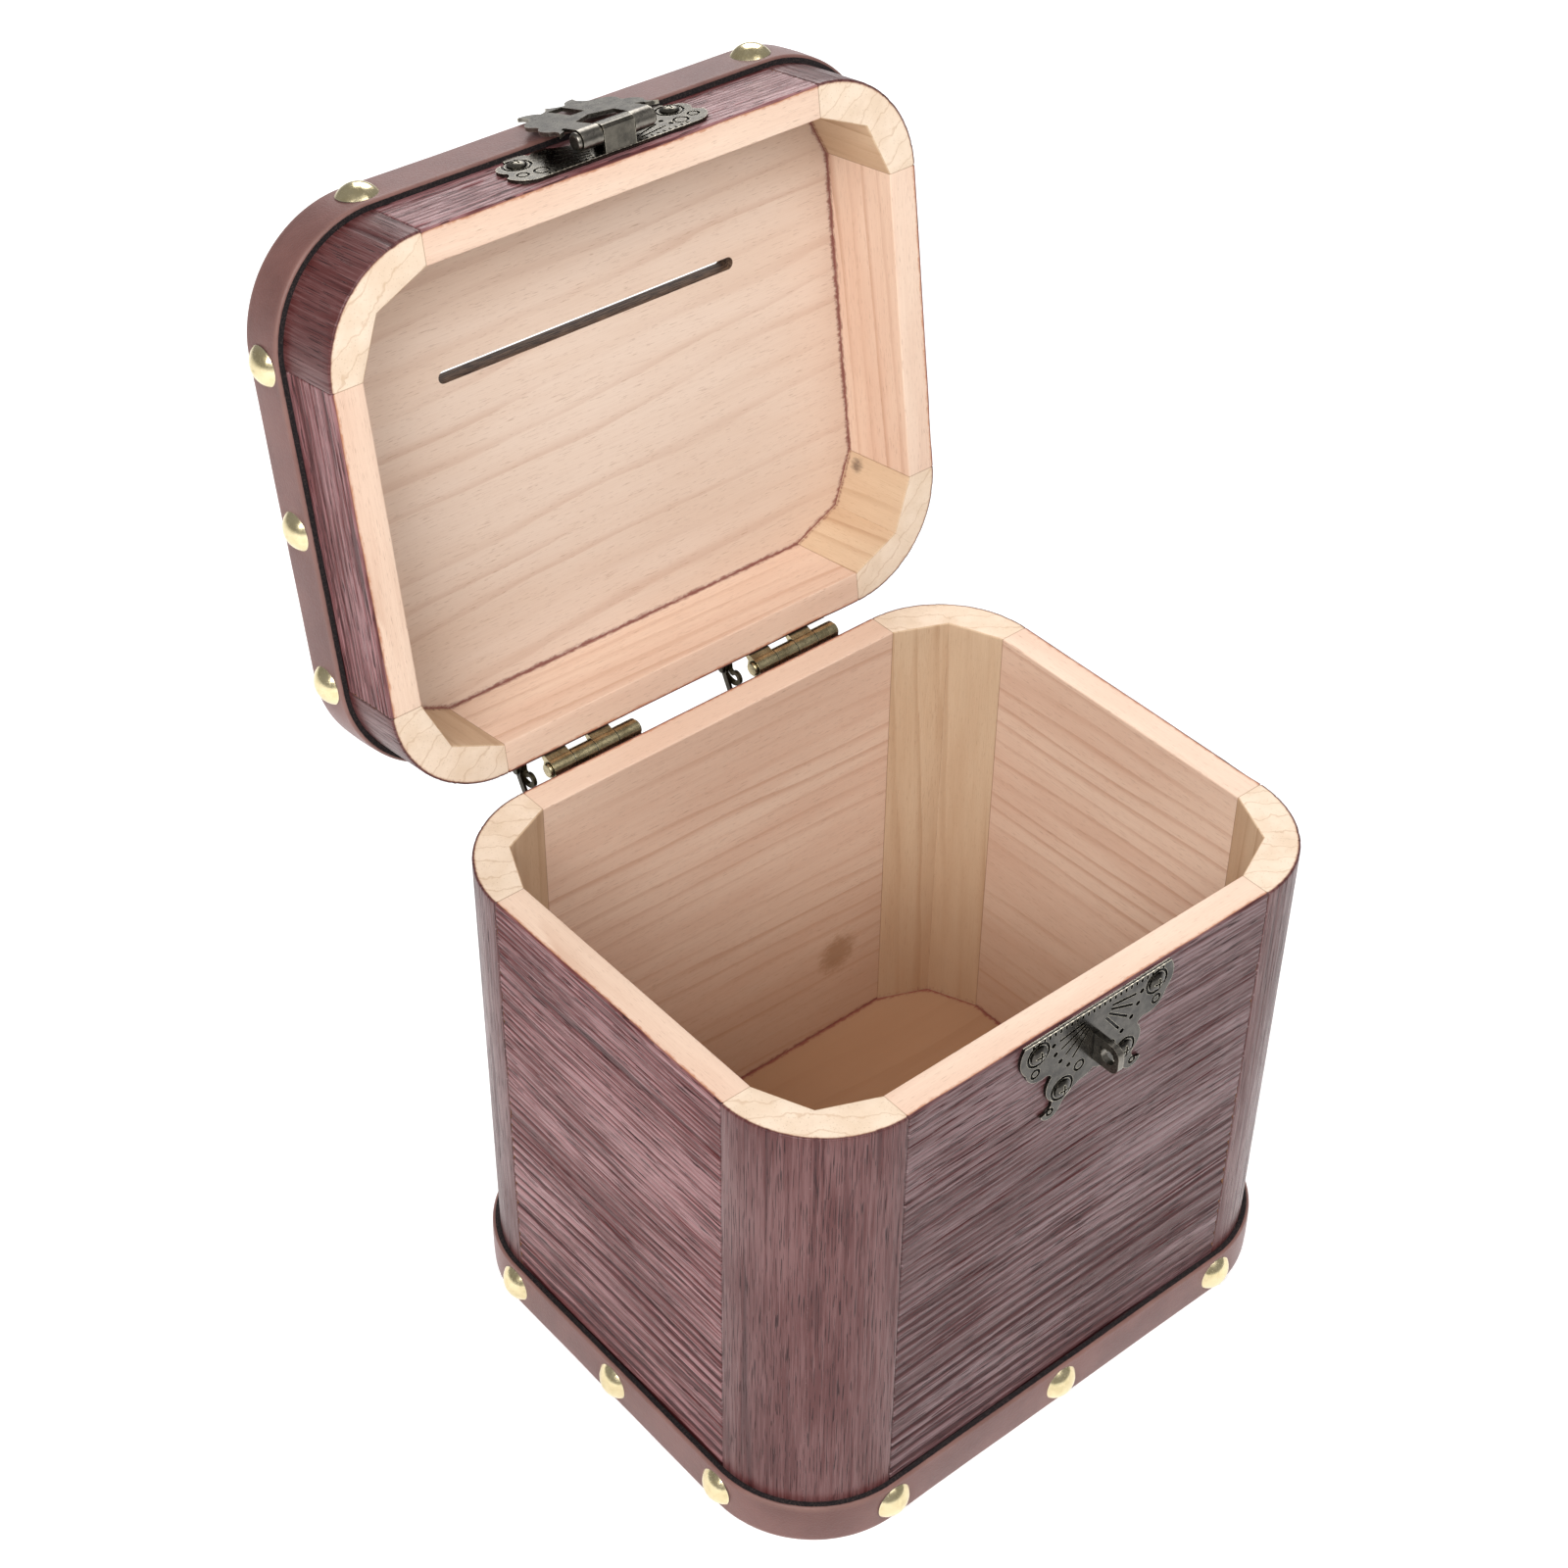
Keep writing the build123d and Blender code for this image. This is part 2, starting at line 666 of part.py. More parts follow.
def make_staple_plate():
    """The body's plate, its straight top edge just under the rim and two tails at its foot."""
    high = body_height - staple_plate_drop
    outer_face = front_plane.offset(plate_thick)
    with BuildPart() as plate:
        with BuildSketch(front_plane):
            with BuildLine():
                Line((0, high), (21.6, high))
                ThreePointArc((21.6, high), (22.7, high - 4.0), (20.8, high - 8.2))
                ThreePointArc((20.8, high - 8.2), (18.9, high - 11.3), (15.2, high - 12.2))
                ThreePointArc((15.2, high - 12.2), (13.6, high - 12.4), (12.9, high - 13.6))
                ThreePointArc((12.9, high - 13.6), (14.1, high - 17.4), (12.0, high - 21.2))
                ThreePointArc((12.0, high - 21.2), (12.7, high - 23.4), (15.0, high - 24.4))
                ThreePointArc((15.0, high - 24.4), (12.6, high - 26.3), (9.6, high - 24.6))
                ThreePointArc((9.6, high - 24.6), (6.6, high - 21.2), (3.6, high - 19.8))
                ThreePointArc((3.6, high - 19.8), (1.9, high - 19.5), (0, high - 18.4))
                mirror(about=Plane.YZ)
            make_face()
            with Locations((0, (tongue_low + tongue_high) / 2)):
                Rectangle(tongue_thick, tongue_high - tongue_low, mode=Mode.SUBTRACT)
        extrude(amount=plate_thick)
        pattern = cut_pattern(
            (0, high - 2.2),
            (-8, -22, -37, -53, -127, -143, -158, -172),
            4.0,
            11.5,
            13.2,
            (
                (17.5, body_height - 4.3, 3.0),
                (9.3, body_height - 19.3, 3.0),
                (18.0, high - 9.2, 1.1),
                (4.6, high - 15.0, 1.3),
                (12.4, high - 24.2, 0.8),
            ),
        )
        with BuildSketch(outer_face):
            add(pattern)
            add(cut_ticks(high - 0.8, 20.5))
        extrude(amount=-engraving, mode=Mode.SUBTRACT)
        with Locations(*front_places(staple_screws)):
            Hole(screw_r + hole_gap, 2 * plate_thick)
    return plate.part


def make_staple():
    """An upright tongue riveted through the plate, with the eye for a small padlock's shackle."""
    tongue_plane = Plane(origin=(-tongue_thick / 2, -half_d, 0), x_dir=(0, -1, 0), z_dir=(-1, 0, 0))
    middle = (tongue_low + tongue_high) / 2
    with BuildPart() as staple:
        with BuildSketch(tongue_plane) as outline:
            with Locations((0, middle)):
                Rectangle(tongue_out, tongue_high - tongue_low, align=(Align.MIN, Align.CENTER))
            fillet(outline.vertices().group_by(Axis.X)[-1], tongue_round)
            with Locations((shackle_out, middle)):
                Circle(shackle_r, mode=Mode.SUBTRACT)
        extrude(amount=-tongue_thick)
    return staple.part


def save_carcass(label, low, high, holes, turn):
    """Four boards and eight corner staves between two heights, each turned by the given function."""
    for side in sides:
        save(turn(make_board(side, low, high, holes)), f"{label}_{side}_board")
    for sy, y_name in ((-1, "front"), (1, "back")):
        for sx, x_name in ((-1, "left"), (1, "right")):
            for faces_y, face_name in ((True, y_name), (False, x_name)):
                stave = make_stave(sx, sy, faces_y, low, high, holes)
                save(turn(stave), f"{label}_{y_name}_{x_name}_stave_{face_name}")


def unturned(piece):
    return piece


def save_hinges():
    for centre, name in zip(hinge_centres, ("left", "right")):
        save(make_leaf(centre, False), f"{name}_hinge_box_leaf")
        save(opened(make_leaf(centre, True)), f"{name}_hinge_lid_leaf")
        save(make_hinge_pin(centre), f"{name}_hinge_pin")
        save(make_stay_link(centre), f"{name}_stay_link")
        save(make_rivet(centre, stay_pivot), f"{name}_stay_pivot_rivet")
        save(make_rivet(centre, stay_open_end), f"{name}_stay_slide_rivet")


def main():
    os.makedirs("parts", exist_ok=True)
    base_tacks = tack_places(base_band_mid, True)
    lid_tacks = tack_places(lid_band_mid, False)
    save_carcass("base", 0, body_height, wood_holes(base_band_mid, True, -1), unturned)
    save(make_bottom_panel(), "bottom_panel")
    save(make_band(0, base_tacks), "base_band")
    save(make_group(make_tack(), base_tacks), "base_tacks")
    save_carcass("lid", lid_low, total_height, wood_holes(lid_band_mid, False, 1), opened)
    save(opened(make_top_panel()), "lid_panel")
    save(opened(make_band(total_height - band_tall, lid_tacks)), "lid_band")
    save(opened(make_group(make_tack(), lid_tacks)), "lid_tacks")
    save_hinges()
    save(make_group(make_screw(), hinge_screw_places(-1)), "hinge_box_screws")
    save(opened(make_group(make_screw(), hinge_screw_places(1))), "hinge_lid_screws")
    save(opened(make_hasp_plate()), "hasp_plate")
    save(opened(make_hasp_pin()), "hasp_pin")
    save(folded(make_hasp_flap()), "hasp_flap")
    save(opened(make_group(make_screw(), front_places(hasp_screws))), "hasp_plate_screws")
    save(make_staple_plate(), "staple_plate")
    save(make_staple(), "staple")
    save(make_group(make_screw(), front_places(staple_screws)), "staple_plate_screws")
    print("stay link ratio", round(stay_ratio, 6), "range", round(stay_ratio * open_angle, 4))


main()
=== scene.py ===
"""The looks of a wooden donation box: brushed stained boards, bare wood inside, leather and antique metal.

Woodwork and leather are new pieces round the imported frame. Metal keeps its CAD shapes and is finished here.
Lengths are in millimetres until a mesh is made, and the lid is worked out closed and then turned open.
"""

import json
import math

import bmesh
import bpy
import numpy as np
from mathutils import Matrix, Vector


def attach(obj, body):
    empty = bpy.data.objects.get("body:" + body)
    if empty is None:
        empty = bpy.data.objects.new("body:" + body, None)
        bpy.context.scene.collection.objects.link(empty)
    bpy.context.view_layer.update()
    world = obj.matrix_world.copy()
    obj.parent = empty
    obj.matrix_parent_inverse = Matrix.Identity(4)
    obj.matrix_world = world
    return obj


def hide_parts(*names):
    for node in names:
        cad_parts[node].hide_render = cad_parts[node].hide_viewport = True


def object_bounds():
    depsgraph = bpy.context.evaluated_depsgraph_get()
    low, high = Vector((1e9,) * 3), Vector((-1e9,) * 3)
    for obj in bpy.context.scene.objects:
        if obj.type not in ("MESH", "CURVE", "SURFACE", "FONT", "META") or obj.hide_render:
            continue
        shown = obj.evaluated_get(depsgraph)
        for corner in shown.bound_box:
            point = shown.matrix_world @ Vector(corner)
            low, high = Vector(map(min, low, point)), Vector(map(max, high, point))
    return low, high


MM = 0.001
SHARP_DEGREES = 38
WELD_WITHIN = 1e-3

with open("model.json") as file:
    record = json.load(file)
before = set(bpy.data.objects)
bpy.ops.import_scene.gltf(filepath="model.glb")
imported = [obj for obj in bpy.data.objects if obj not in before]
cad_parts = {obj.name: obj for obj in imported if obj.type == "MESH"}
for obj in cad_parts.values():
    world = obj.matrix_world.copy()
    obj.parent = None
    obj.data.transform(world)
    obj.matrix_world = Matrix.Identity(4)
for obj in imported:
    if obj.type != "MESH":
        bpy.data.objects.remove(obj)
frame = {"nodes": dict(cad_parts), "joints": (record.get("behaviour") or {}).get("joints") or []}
cad_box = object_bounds()


# Where things are, read from the frame


def lid_matrix():
    """Turns what is drawn closed to where the lid stands at rest, in metres."""
    hinge = next(j for j in frame["joints"] if j["name"] == "lid_hinge")
    axis_point = Vector(hinge["pos_m"])
    turn = Matrix.Rotation(-math.radians(hinge["range_deg"][1]), 4, "X")
    return Matrix.Translation(axis_point) @ turn @ Matrix.Translation(-axis_point)


STILL = Matrix.Identity(4)
OPENED = lid_matrix()


def node_box(node, matrix=STILL):
    """Lowest and highest corner of a CAD node in millimetres, before matrix moved it."""
    back = matrix.inverted()
    points = np.array([back @ v.co for v in frame["nodes"][node].data.vertices]) / MM
    return points.min(0), points.max(0)


front_low, front_high = node_box("base_front_board")
side_low, side_high = node_box("base_left_board")
stave_high = node_box("base_front_right_stave_front")[1]
lid_front_low, lid_front_high = node_box("lid_front_board", OPENED)
base_band_low, base_band_high = node_box("base_band")
lid_band_low = node_box("lid_band", OPENED)[0]
panel_low, panel_high = node_box("lid_panel", OPENED)
floor_low, floor_high = node_box("bottom_panel")

SEAM_X, SEAM_Y = front_high[0], side_high[1]
HALF_W, HALF_D = -side_low[0], -front_low[1]
WALL = front_high[1] - front_low[1]
RADIUS = HALF_W - SEAM_X
WAIST = HALF_D + stave_high[1]
BODY_TALL = front_high[2]
LID_LOW, LID_HIGH = lid_front_low[2], lid_front_high[2]
BAND_THICK = base_band_high[0] - HALF_W
BAND_TALL = base_band_high[2] - base_band_low[2]
PLATE_THICK = -node_box("staple_plate")[0][1] - HALF_D


# Noise, and meshes from grids


def smooth(value, low, high):
    t = np.clip((value - low) / (high - low), 0, 1)
    return t * t * (3 - 2 * t)


def lattice(i, j, seed):
    """A repeatable number from 0 to 1 for each whole-number place."""
    n = (i * 374761393 + j * 668265263 + seed * 974634777) & 0xFFFFFFFF
    n = ((n ^ (n >> 13)) * 1274126177) & 0xFFFFFFFF
    return ((n ^ (n >> 16)) & 0xFFFF) / 0xFFFF


def noise(x, y, seed):
    """Smooth noise from 0 to 1 over two numbers."""
    x, y = np.broadcast_arrays(x, y)
    i, j = np.floor(x).astype(np.int64), np.floor(y).astype(np.int64)
    u, v = smooth(x - i, 0, 1), smooth(y - j, 0, 1)
    low = lattice(i, j, seed) * (1 - u) + lattice(i + 1, j, seed) * u
    high = lattice(i, j + 1, seed) * (1 - u) + lattice(i + 1, j + 1, seed) * u
    return low * (1 - v) + high * v


class Patches:
    """Grids of points that make up one closed mesh, with values at each point."""

    VALUES = ("relief", "depth", "joint", "foot")

    def __init__(self):
        self.points, self.grain, self.values, self.faces, self.slots = [], [], [], [], []
        self.count = 0

    def add(self, points, grain, material, **values):
        """points and grain are rows x columns x 3. material is one number, or one for each row of faces."""
        rows, columns = points.shape[:2]
        index = np.arange(rows * columns).reshape(rows, columns) + self.count
        corners = (index[:-1, :-1], index[:-1, 1:], index[1:, 1:], index[1:, :-1])
        faces = np.stack(corners, -1).reshape(-1, 4)
        self.points.append(points.reshape(-1, 3))
        self.grain.append(grain.reshape(-1, 3))
        filled = [np.broadcast_to(values.get(name, 0.0), (rows, columns)).ravel() for name in self.VALUES]
        self.values.append(np.stack(filled, -1))
        self.faces.append(faces)
        self.slots.append(np.broadcast_to(np.reshape(material, (-1, 1)), (rows - 1, columns - 1)).ravel())
        self.count += rows * columns

    def make(self, name, matrix, materials):
        points, grain = np.concatenate(self.points), np.concatenate(self.grain)
        values = np.concatenate(self.values)
        mesh = bpy.data.meshes.new(name)
        mesh.from_pydata((points * MM).tolist(), [], np.concatenate(self.faces).tolist())
        mesh.polygons.foreach_set("material_index", np.concatenate(self.slots).astype(np.int32))
        store(mesh, "grain", grain, "FLOAT_VECTOR")
        for k, label in enumerate(self.VALUES):
            store(mesh, label, values[:, k], "FLOAT")
        weld = bmesh.new()
        weld.from_mesh(mesh)
        bmesh.ops.remove_doubles(weld, verts=weld.verts, dist=WELD_WITHIN * MM)
        bmesh.ops.recalc_face_normals(weld, faces=weld.faces)
        weld.to_mesh(mesh)
        weld.free()
        return place(name, mesh, matrix, materials)


def store(mesh, label, values, kind):
    attribute = mesh.attributes.new(label, kind, "POINT")
    field = "vector" if kind == "FLOAT_VECTOR" else "value"
    attribute.data.foreach_set(field, np.asarray(values, np.float32).ravel())


def place(name, mesh, matrix, materials):
    for material in materials:
        mesh.materials.append(material)
    mesh.polygons.foreach_set("use_smooth", [True] * len(mesh.polygons))
    mesh.set_sharp_from_angle(angle=math.radians(SHARP_DEGREES))
    piece = bpy.data.objects.new(name, mesh)
    bpy.context.scene.collection.objects.link(piece)
    piece.matrix_world = matrix
    return piece


def stand_for(piece, body, node):
    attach(piece, body)
    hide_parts(node)


# Materials


class Finish:
    """One material's nodes, built by short calls that pass sockets on."""

    def __init__(self, name):
        self.material = bpy.data.materials.new(name)
        self.material.use_nodes = True
        self.tree = self.material.node_tree
        self.tree.nodes.clear()
        output = self.tree.nodes.new("ShaderNodeOutputMaterial")
        self.shader = self.tree.nodes.new("ShaderNodeBsdfPrincipled")
        self.tree.links.new(self.shader.outputs["BSDF"], output.inputs["Surface"])

    def node(self, kind, **settings):
        made = self.tree.nodes.new("ShaderNode" + kind)
        for key, value in settings.items():
            setattr(made, key, value)
        return made

    def feed(self, socket, value):
        if isinstance(value, bpy.types.NodeSocket):
            self.tree.links.new(value, socket)
        elif isinstance(value, tuple) and socket.type == "RGBA" and len(value) == 3:
            socket.default_value = (*value, 1)
        else:
            socket.default_value = value

    def set(self, **values):
        for key, value in values.items():
            self.feed(self.shader.inputs[key.replace("_", " ")], value)
        return self.material

    def attribute(self, name):
        made = self.node("Attribute", attribute_name=name)
        return made.outputs["Vector" if name == "grain" else "Fac"]

    def place(self):
        """The piece's own coordinates, in millimetres."""
        return self.stretch(self.node("TexCoord").outputs["Object"], 1 / MM, 1 / MM, 1 / MM)

    def stretch(self, vector, x, y, z):
        made = self.node("Mapping")
        self.feed(made.inputs["Vector"], vector)
        made.inputs["Scale"].default_value = (x, y, z)
        return made.outputs["Vector"]

    def noise(self, vector, x, y, z, detail=3.0, rough=0.5):
        made = self.node("TexNoise")
        self.feed(made.inputs["Vector"], self.stretch(vector, x, y, z))
        made.inputs["Scale"].default_value = 1.0
        made.inputs["Detail"].default_value = detail
        made.inputs["Roughness"].default_value = rough
        return made.outputs["Fac"]

    def cells(self, vector, scale):
        made = self.node("TexVoronoi")
        self.feed(made.inputs["Vector"], vector)
        made.inputs["Scale"].default_value = scale
        return made.outputs["Distance"]

    def math(self, operation, a, b=0.0):
        made = self.node("Math", operation=operation)
        for socket, value in zip(made.inputs, (a, b)):
            self.feed(socket, value)
        return made.outputs["Value"]

    def span(self, value, low, high, out_low=0.0, out_high=1.0):
        """value from low to high becomes out_low to out_high, smoothly and clamped."""
        made = self.node("MapRange", interpolation_type="SMOOTHSTEP")
        for socket, number in zip(made.inputs, (value, low, high, out_low, out_high)):
            self.feed(socket, number)
        return made.outputs["Result"]

    def fade(self, value, low, high):
        """1 up to low, falling to 0 at high."""
        return self.math("SUBTRACT", 1.0, self.span(value, low, high))

    def hump(self, value, rise, fall):
        """Up from 0 to 1 over the two numbers of rise, and down again over the two of fall."""
        return self.math("MULTIPLY", self.span(value, *rise), self.fade(value, *fall))

    def mix(self, factor, a, b):
        made = self.node("Mix", data_type="RGBA")
        self.feed(made.inputs[0], factor)
        self.feed(made.inputs[6], a)
        self.feed(made.inputs[7], b)
        return made.outputs[2]

    def part(self, vector, axis):
        made = self.node("SeparateXYZ")
        self.feed(made.inputs[0], vector)
        return made.outputs[axis]

    def bump(self, height, distance, strength):
        made = self.node("Bump")
        made.inputs["Strength"].default_value = strength
        made.inputs["Distance"].default_value = distance * MM
        self.feed(made.inputs["Height"], height)
        return made.outputs["Normal"]

    def near(self, distance, inside):
        """1 in a hollow, or on an outward edge if inside is set, within distance."""
        made = self.node("AmbientOcclusion", inside=inside, samples=6)
        made.inputs["Distance"].default_value = distance * MM
        return self.math("SUBTRACT", 1.0, made.outputs["AO"])


def stained_wood(name, pore_long, pore_fine, base, worn_and_sheen):
    """Dark red stain, brushed so that the ridges show paler, partly from wear and partly as painted sheen,
    with open pores along the grain.
    """
    f = Finish(name)
    grain, relief, joint = f.attribute("grain"), f.attribute("relief"), f.attribute("joint")
    streak = f.noise(grain, 0.03, 1.1, 1.1, 4.0, 0.6)
    hair = f.noise(grain, 0.07, 4.2, 4.2, 3.0, 0.7)
    blotch_and_sheen = f.noise(grain, 0.02, 0.05, 0.05, 3.0, 0.55)
    pores = f.noise(grain, pore_long, pore_fine, pore_fine, 1.5, 0.5)
    crowd = f.noise(grain, 0.015, 0.12, 0.12, 2.0, 0.5)
    pore_edge = f.math("SUBTRACT", 0.455, f.math("MULTIPLY", crowd, 0.17))
    pore_mask = f.fade(f.math("SUBTRACT", pores, pore_edge), -0.006, 0.012)
    # The paler tone is partly real dry-brushed wear and partly painted sheen: its streaks and blotches stand
    # for the lacquer's glints and reflections.
    wear = f.math("ADD", f.math("MULTIPLY", streak, 0.5), f.math("MULTIPLY", blotch_and_sheen, 0.6))
    wear = f.math("SUBTRACT", wear, f.math("MULTIPLY", relief, 0.3))
    wear = f.span(f.math("ADD", wear, f.math("MULTIPLY", hair, 0.7)), 0.76, 1.04)
    colour = f.mix(wear, base, worn_and_sheen)
    groove = f.math("MULTIPLY", f.span(relief, 0.15, 0.8), 0.85)
    colour = f.mix(groove, colour, (0.036, 0.006, 0.007))
    colour = f.mix(f.math("MULTIPLY", pore_mask, 0.85), colour, (0.022, 0.005, 0.006))
    chips = f.noise(grain, 1.3, 0.9, 0.9, 3.0, 0.7)
    seam = f.fade(joint, 0.06, 0.32)
    seam = f.math("MULTIPLY", seam, f.span(chips, 0.35, 0.6, 0.3, 0.75))
    colour = f.mix(seam, colour, (0.035, 0.010, 0.011))
    chip = f.math("MULTIPLY", f.fade(joint, 0.25, 0.6), f.span(chips, 0.57, 0.66))
    colour = f.mix(f.math("MULTIPLY", chip, 0.6), colour, (0.36, 0.24, 0.24))
    height = f.math("ADD", f.math("MULTIPLY", hair, 0.3), f.math("MULTIPLY", streak, 0.5))
    height = f.math("SUBTRACT", height, f.math("MULTIPLY", pore_mask, 0.9))
    rough = f.span(wear, 0.0, 1.0, 0.42, 0.30)
    return f.set(
        Base_Color=colour,
        Roughness=f.math("ADD", rough, f.math("MULTIPLY", pore_mask, 0.25)),
        Normal=f.bump(height, 0.20, 0.85),
        Specular_IOR_Level=0.30,
        Coat_Weight=0.08,
        Coat_Roughness=0.2,
    )


LINE_TILT = 0.008
SHADE_PAINTED_UP_TO = 95.0
RIM_RED = (0.13, 0.04, 0.03)


def bare_wood(name, pale, deep, line, spacing, bent, bold, marks=()):
    """Sanded wood with growth lines, a stained outer edge, dark joints, a seep line by the panel, and painted
    shade that browns it low down in the box.

    Each mark is a knot or a stain: its middle, its radius and its colour.
    """
    f = Finish(name)
    grain, depth = f.attribute("grain"), f.attribute("depth")
    joint, foot = f.attribute("joint"), f.attribute("foot")
    slow = f.noise(grain, 0.006, 0.022, 0.022, 2.0, 0.5)
    drift = f.noise(grain, 0.014, 0.15, 0.15, 2.0, 0.5)
    ring = f.math("DIVIDE", f.part(grain, "Y"), spacing)
    ring = f.math("ADD", ring, f.math("MULTIPLY", f.part(grain, "X"), LINE_TILT))
    ring = f.math("ADD", ring, f.math("MULTIPLY", slow, bent))
    ring = f.math("ADD", ring, f.math("MULTIPLY", drift, 0.7))
    turn = f.math("FRACT", ring)
    late = f.hump(turn, (0.6, 0.93), (0.94, 1.0))
    strength = f.span(f.noise(grain, 0.008, 0.11, 0.11, 2.0), 0.32, 0.68, 0.04, bold)
    fibre = f.noise(grain, 0.07, 3.4, 3.4, 3.0, 0.65)
    patch = f.noise(grain, 0.012, 0.06, 0.06, 3.0, 0.6)
    fleck = f.span(f.noise(grain, 0.35, 5.5, 5.5, 1.0), 0.64, 0.72)
    colour = f.mix(f.span(patch, 0.3, 0.7), pale, deep)
    colour = f.mix(f.math("MULTIPLY", late, strength), colour, line)
    colour = f.mix(f.span(fibre, 0.35, 0.75, 0.0, 0.2), colour, line)
    colour = f.mix(f.math("MULTIPLY", fleck, 0.4), colour, (0.30, 0.15, 0.09))
    # Painted shade: the bare wood is browned and darkened towards the bottom of the box, where less light
    # reaches.
    low_down = f.span(f.part(f.place(), "Z"), 0.0, SHADE_PAINTED_UP_TO, 0.62, 0.0)
    colour = f.mix(low_down, colour, (0.35, 0.185, 0.095))
    ragged = f.noise(grain, 0.5, 0.9, 0.9, 4.0, 0.7)
    bleed = f.math("SUBTRACT", f.math("ADD", depth, 0.55), f.math("MULTIPLY", ragged, 1.9))
    stain = f.fade(bleed, -0.35, 0.55)
    colour = f.mix(f.math("MULTIPLY", stain, 0.75), colour, (0.42, 0.13, 0.045))
    rim = f.fade(depth, 0.05, 0.32)
    colour = f.mix(f.math("MULTIPLY", rim, 0.8), colour, RIM_RED)
    seam = f.fade(joint, 0.04, 0.2)
    colour = f.mix(f.math("MULTIPLY", seam, 0.55), colour, (0.24, 0.12, 0.06))
    seep = f.math("SUBTRACT", foot, f.math("MULTIPLY", ragged, 2.6))
    seep = f.fade(seep, -1.2, -0.1)
    colour = f.mix(f.math("MULTIPLY", seep, 0.85), colour, (0.20, 0.045, 0.035))
    for spot, radius, tone in marks:
        away = f.node("VectorMath", operation="DISTANCE")
        f.feed(away.inputs[0], f.place())
        away.inputs[1].default_value = spot
        ragged_edge = f.math("MULTIPLY", f.math("SUBTRACT", ragged, 0.5), radius)
        reach = f.math("ADD", away.outputs["Value"], ragged_edge)
        mark = f.fade(reach, 0.3 * radius, radius)
        colour = f.mix(f.math("MULTIPLY", mark, 0.7), colour, tone)
    height = f.math("SUBTRACT", fibre, f.math("MULTIPLY", late, 0.3))
    height = f.math("SUBTRACT", height, f.math("MULTIPLY", seam, 1.5))
    return f.set(
        Base_Color=colour,
        Roughness=f.span(fibre, 0.3, 0.8, 0.62, 0.5),
        Normal=f.bump(height, 0.06, 0.6),
        Specular_IOR_Level=0.35,
    )


def end_grain(name):
    """The sawn tops of the staves: paler, speckled with cut pores, with faint rings across."""
    f = Finish(name)
    place_mm, depth, joint = f.place(), f.attribute("depth"), f.attribute("joint")
    cloud = f.noise(place_mm, 0.12, 0.12, 0.12, 3.0, 0.6)
    dots = f.fade(f.cells(place_mm, 1.5), 0.10, 0.26)
    ring = f.math("ADD", f.math("MULTIPLY", f.part(place_mm, "X"), 0.13), f.math("MULTIPLY", cloud, 1.6))
    turn = f.math("FRACT", f.math("ADD", ring, f.math("MULTIPLY", f.part(place_mm, "Y"), 0.17)))
    late = f.hump(turn, (0.86, 0.95), (0.95, 1.0))
    saw = f.noise(place_mm, 1.6, 1.6, 1.6, 4.0, 0.7)
    colour = f.mix(f.span(cloud, 0.3, 0.7), (0.780, 0.635, 0.500), (0.700, 0.545, 0.405))
    colour = f.mix(f.math("MULTIPLY", late, 0.45), colour, (0.50, 0.32, 0.19))
    colour = f.mix(f.math("MULTIPLY", dots, f.span(saw, 0.3, 0.7, 0.05, 0.5)), colour, (0.42, 0.30, 0.19))
    bleed = f.math("SUBTRACT", f.math("ADD", depth, 0.5), f.math("MULTIPLY", saw, 1.3))
    stain = f.fade(bleed, -0.3, 0.5)
    colour = f.mix(f.math("MULTIPLY", stain, 0.6), colour, (0.40, 0.17, 0.07))
    rim = f.fade(depth, 0.05, 0.32)
    colour = f.mix(f.math("MULTIPLY", rim, 0.8), colour, RIM_RED)
    seam = f.fade(joint, 0.04, 0.2)
    colour = f.mix(f.math("MULTIPLY", seam, 0.5), colour, (0.26, 0.14, 0.07))
    height = f.math("SUBTRACT", saw, f.math("MULTIPLY", dots, 0.8))
    return f.set(Base_Color=colour, Roughness=0.72, Normal=f.bump(height, 0.08, 0.7), Specular_IOR_Level=0.3)


def slot_wood(name):
    """The sides of the coin slot, scorched and stained by the cutter."""
    f = Finish(name)
    place_mm = f.place()
    saw = f.noise(place_mm, 0.25, 2.5, 2.5, 4.0, 0.7)
    colour = f.mix(f.span(saw, 0.35, 0.7), (0.040, 0.022, 0.016), (0.22, 0.13, 0.08))
    return f.set(Base_Color=colour, Roughness=0.6, Normal=f.bump(saw, 0.1, 0.7), Specular_IOR_Level=0.2)


def leather(name):
    """Reddish-brown leather with a fine pebbled grain, paler where it is pulled or rubbed."""
    f = Finish(name)
    place_mm, relief = f.place(), f.attribute("relief")
    pebble = f.cells(place_mm, 1.9)
    pebble_fine = f.cells(place_mm, 3.6)
    crease = f.noise(place_mm, 0.9, 0.9, 0.9, 4.0, 0.65)
    cloud = f.noise(place_mm, 0.05, 0.05, 0.05, 4.0, 0.6)
    skin = f.math("ADD", f.math("MULTIPLY", pebble, 0.6), f.math("MULTIPLY", pebble_fine, 0.4))
    colour = f.mix(f.span(cloud, 0.3, 0.7), (0.112, 0.042, 0.034), (0.165, 0.068, 0.056))
    colour = f.mix(f.span(skin, 0.15, 0.55, 0.35, 0.0), colour, (0.085, 0.032, 0.027))
    colour = f.mix(f.math("MULTIPLY", relief, 0.5), colour, (0.30, 0.17, 0.14))
    height = f.math("ADD", f.math("MULTIPLY", skin, -1.0), f.math("MULTIPLY", crease, 0.5))
    return f.set(
        Base_Color=colour,
        Roughness=f.span(skin, 0.1, 0.6, 0.42, 0.56),
        Normal=f.bump(height, 0.11, 0.6),
        Specular_IOR_Level=0.5,
        Sheen_Weight=0.25,
        Sheen_Roughness=0.4,
        Sheen_Tint=(0.95, 0.82, 0.84, 1),
    )


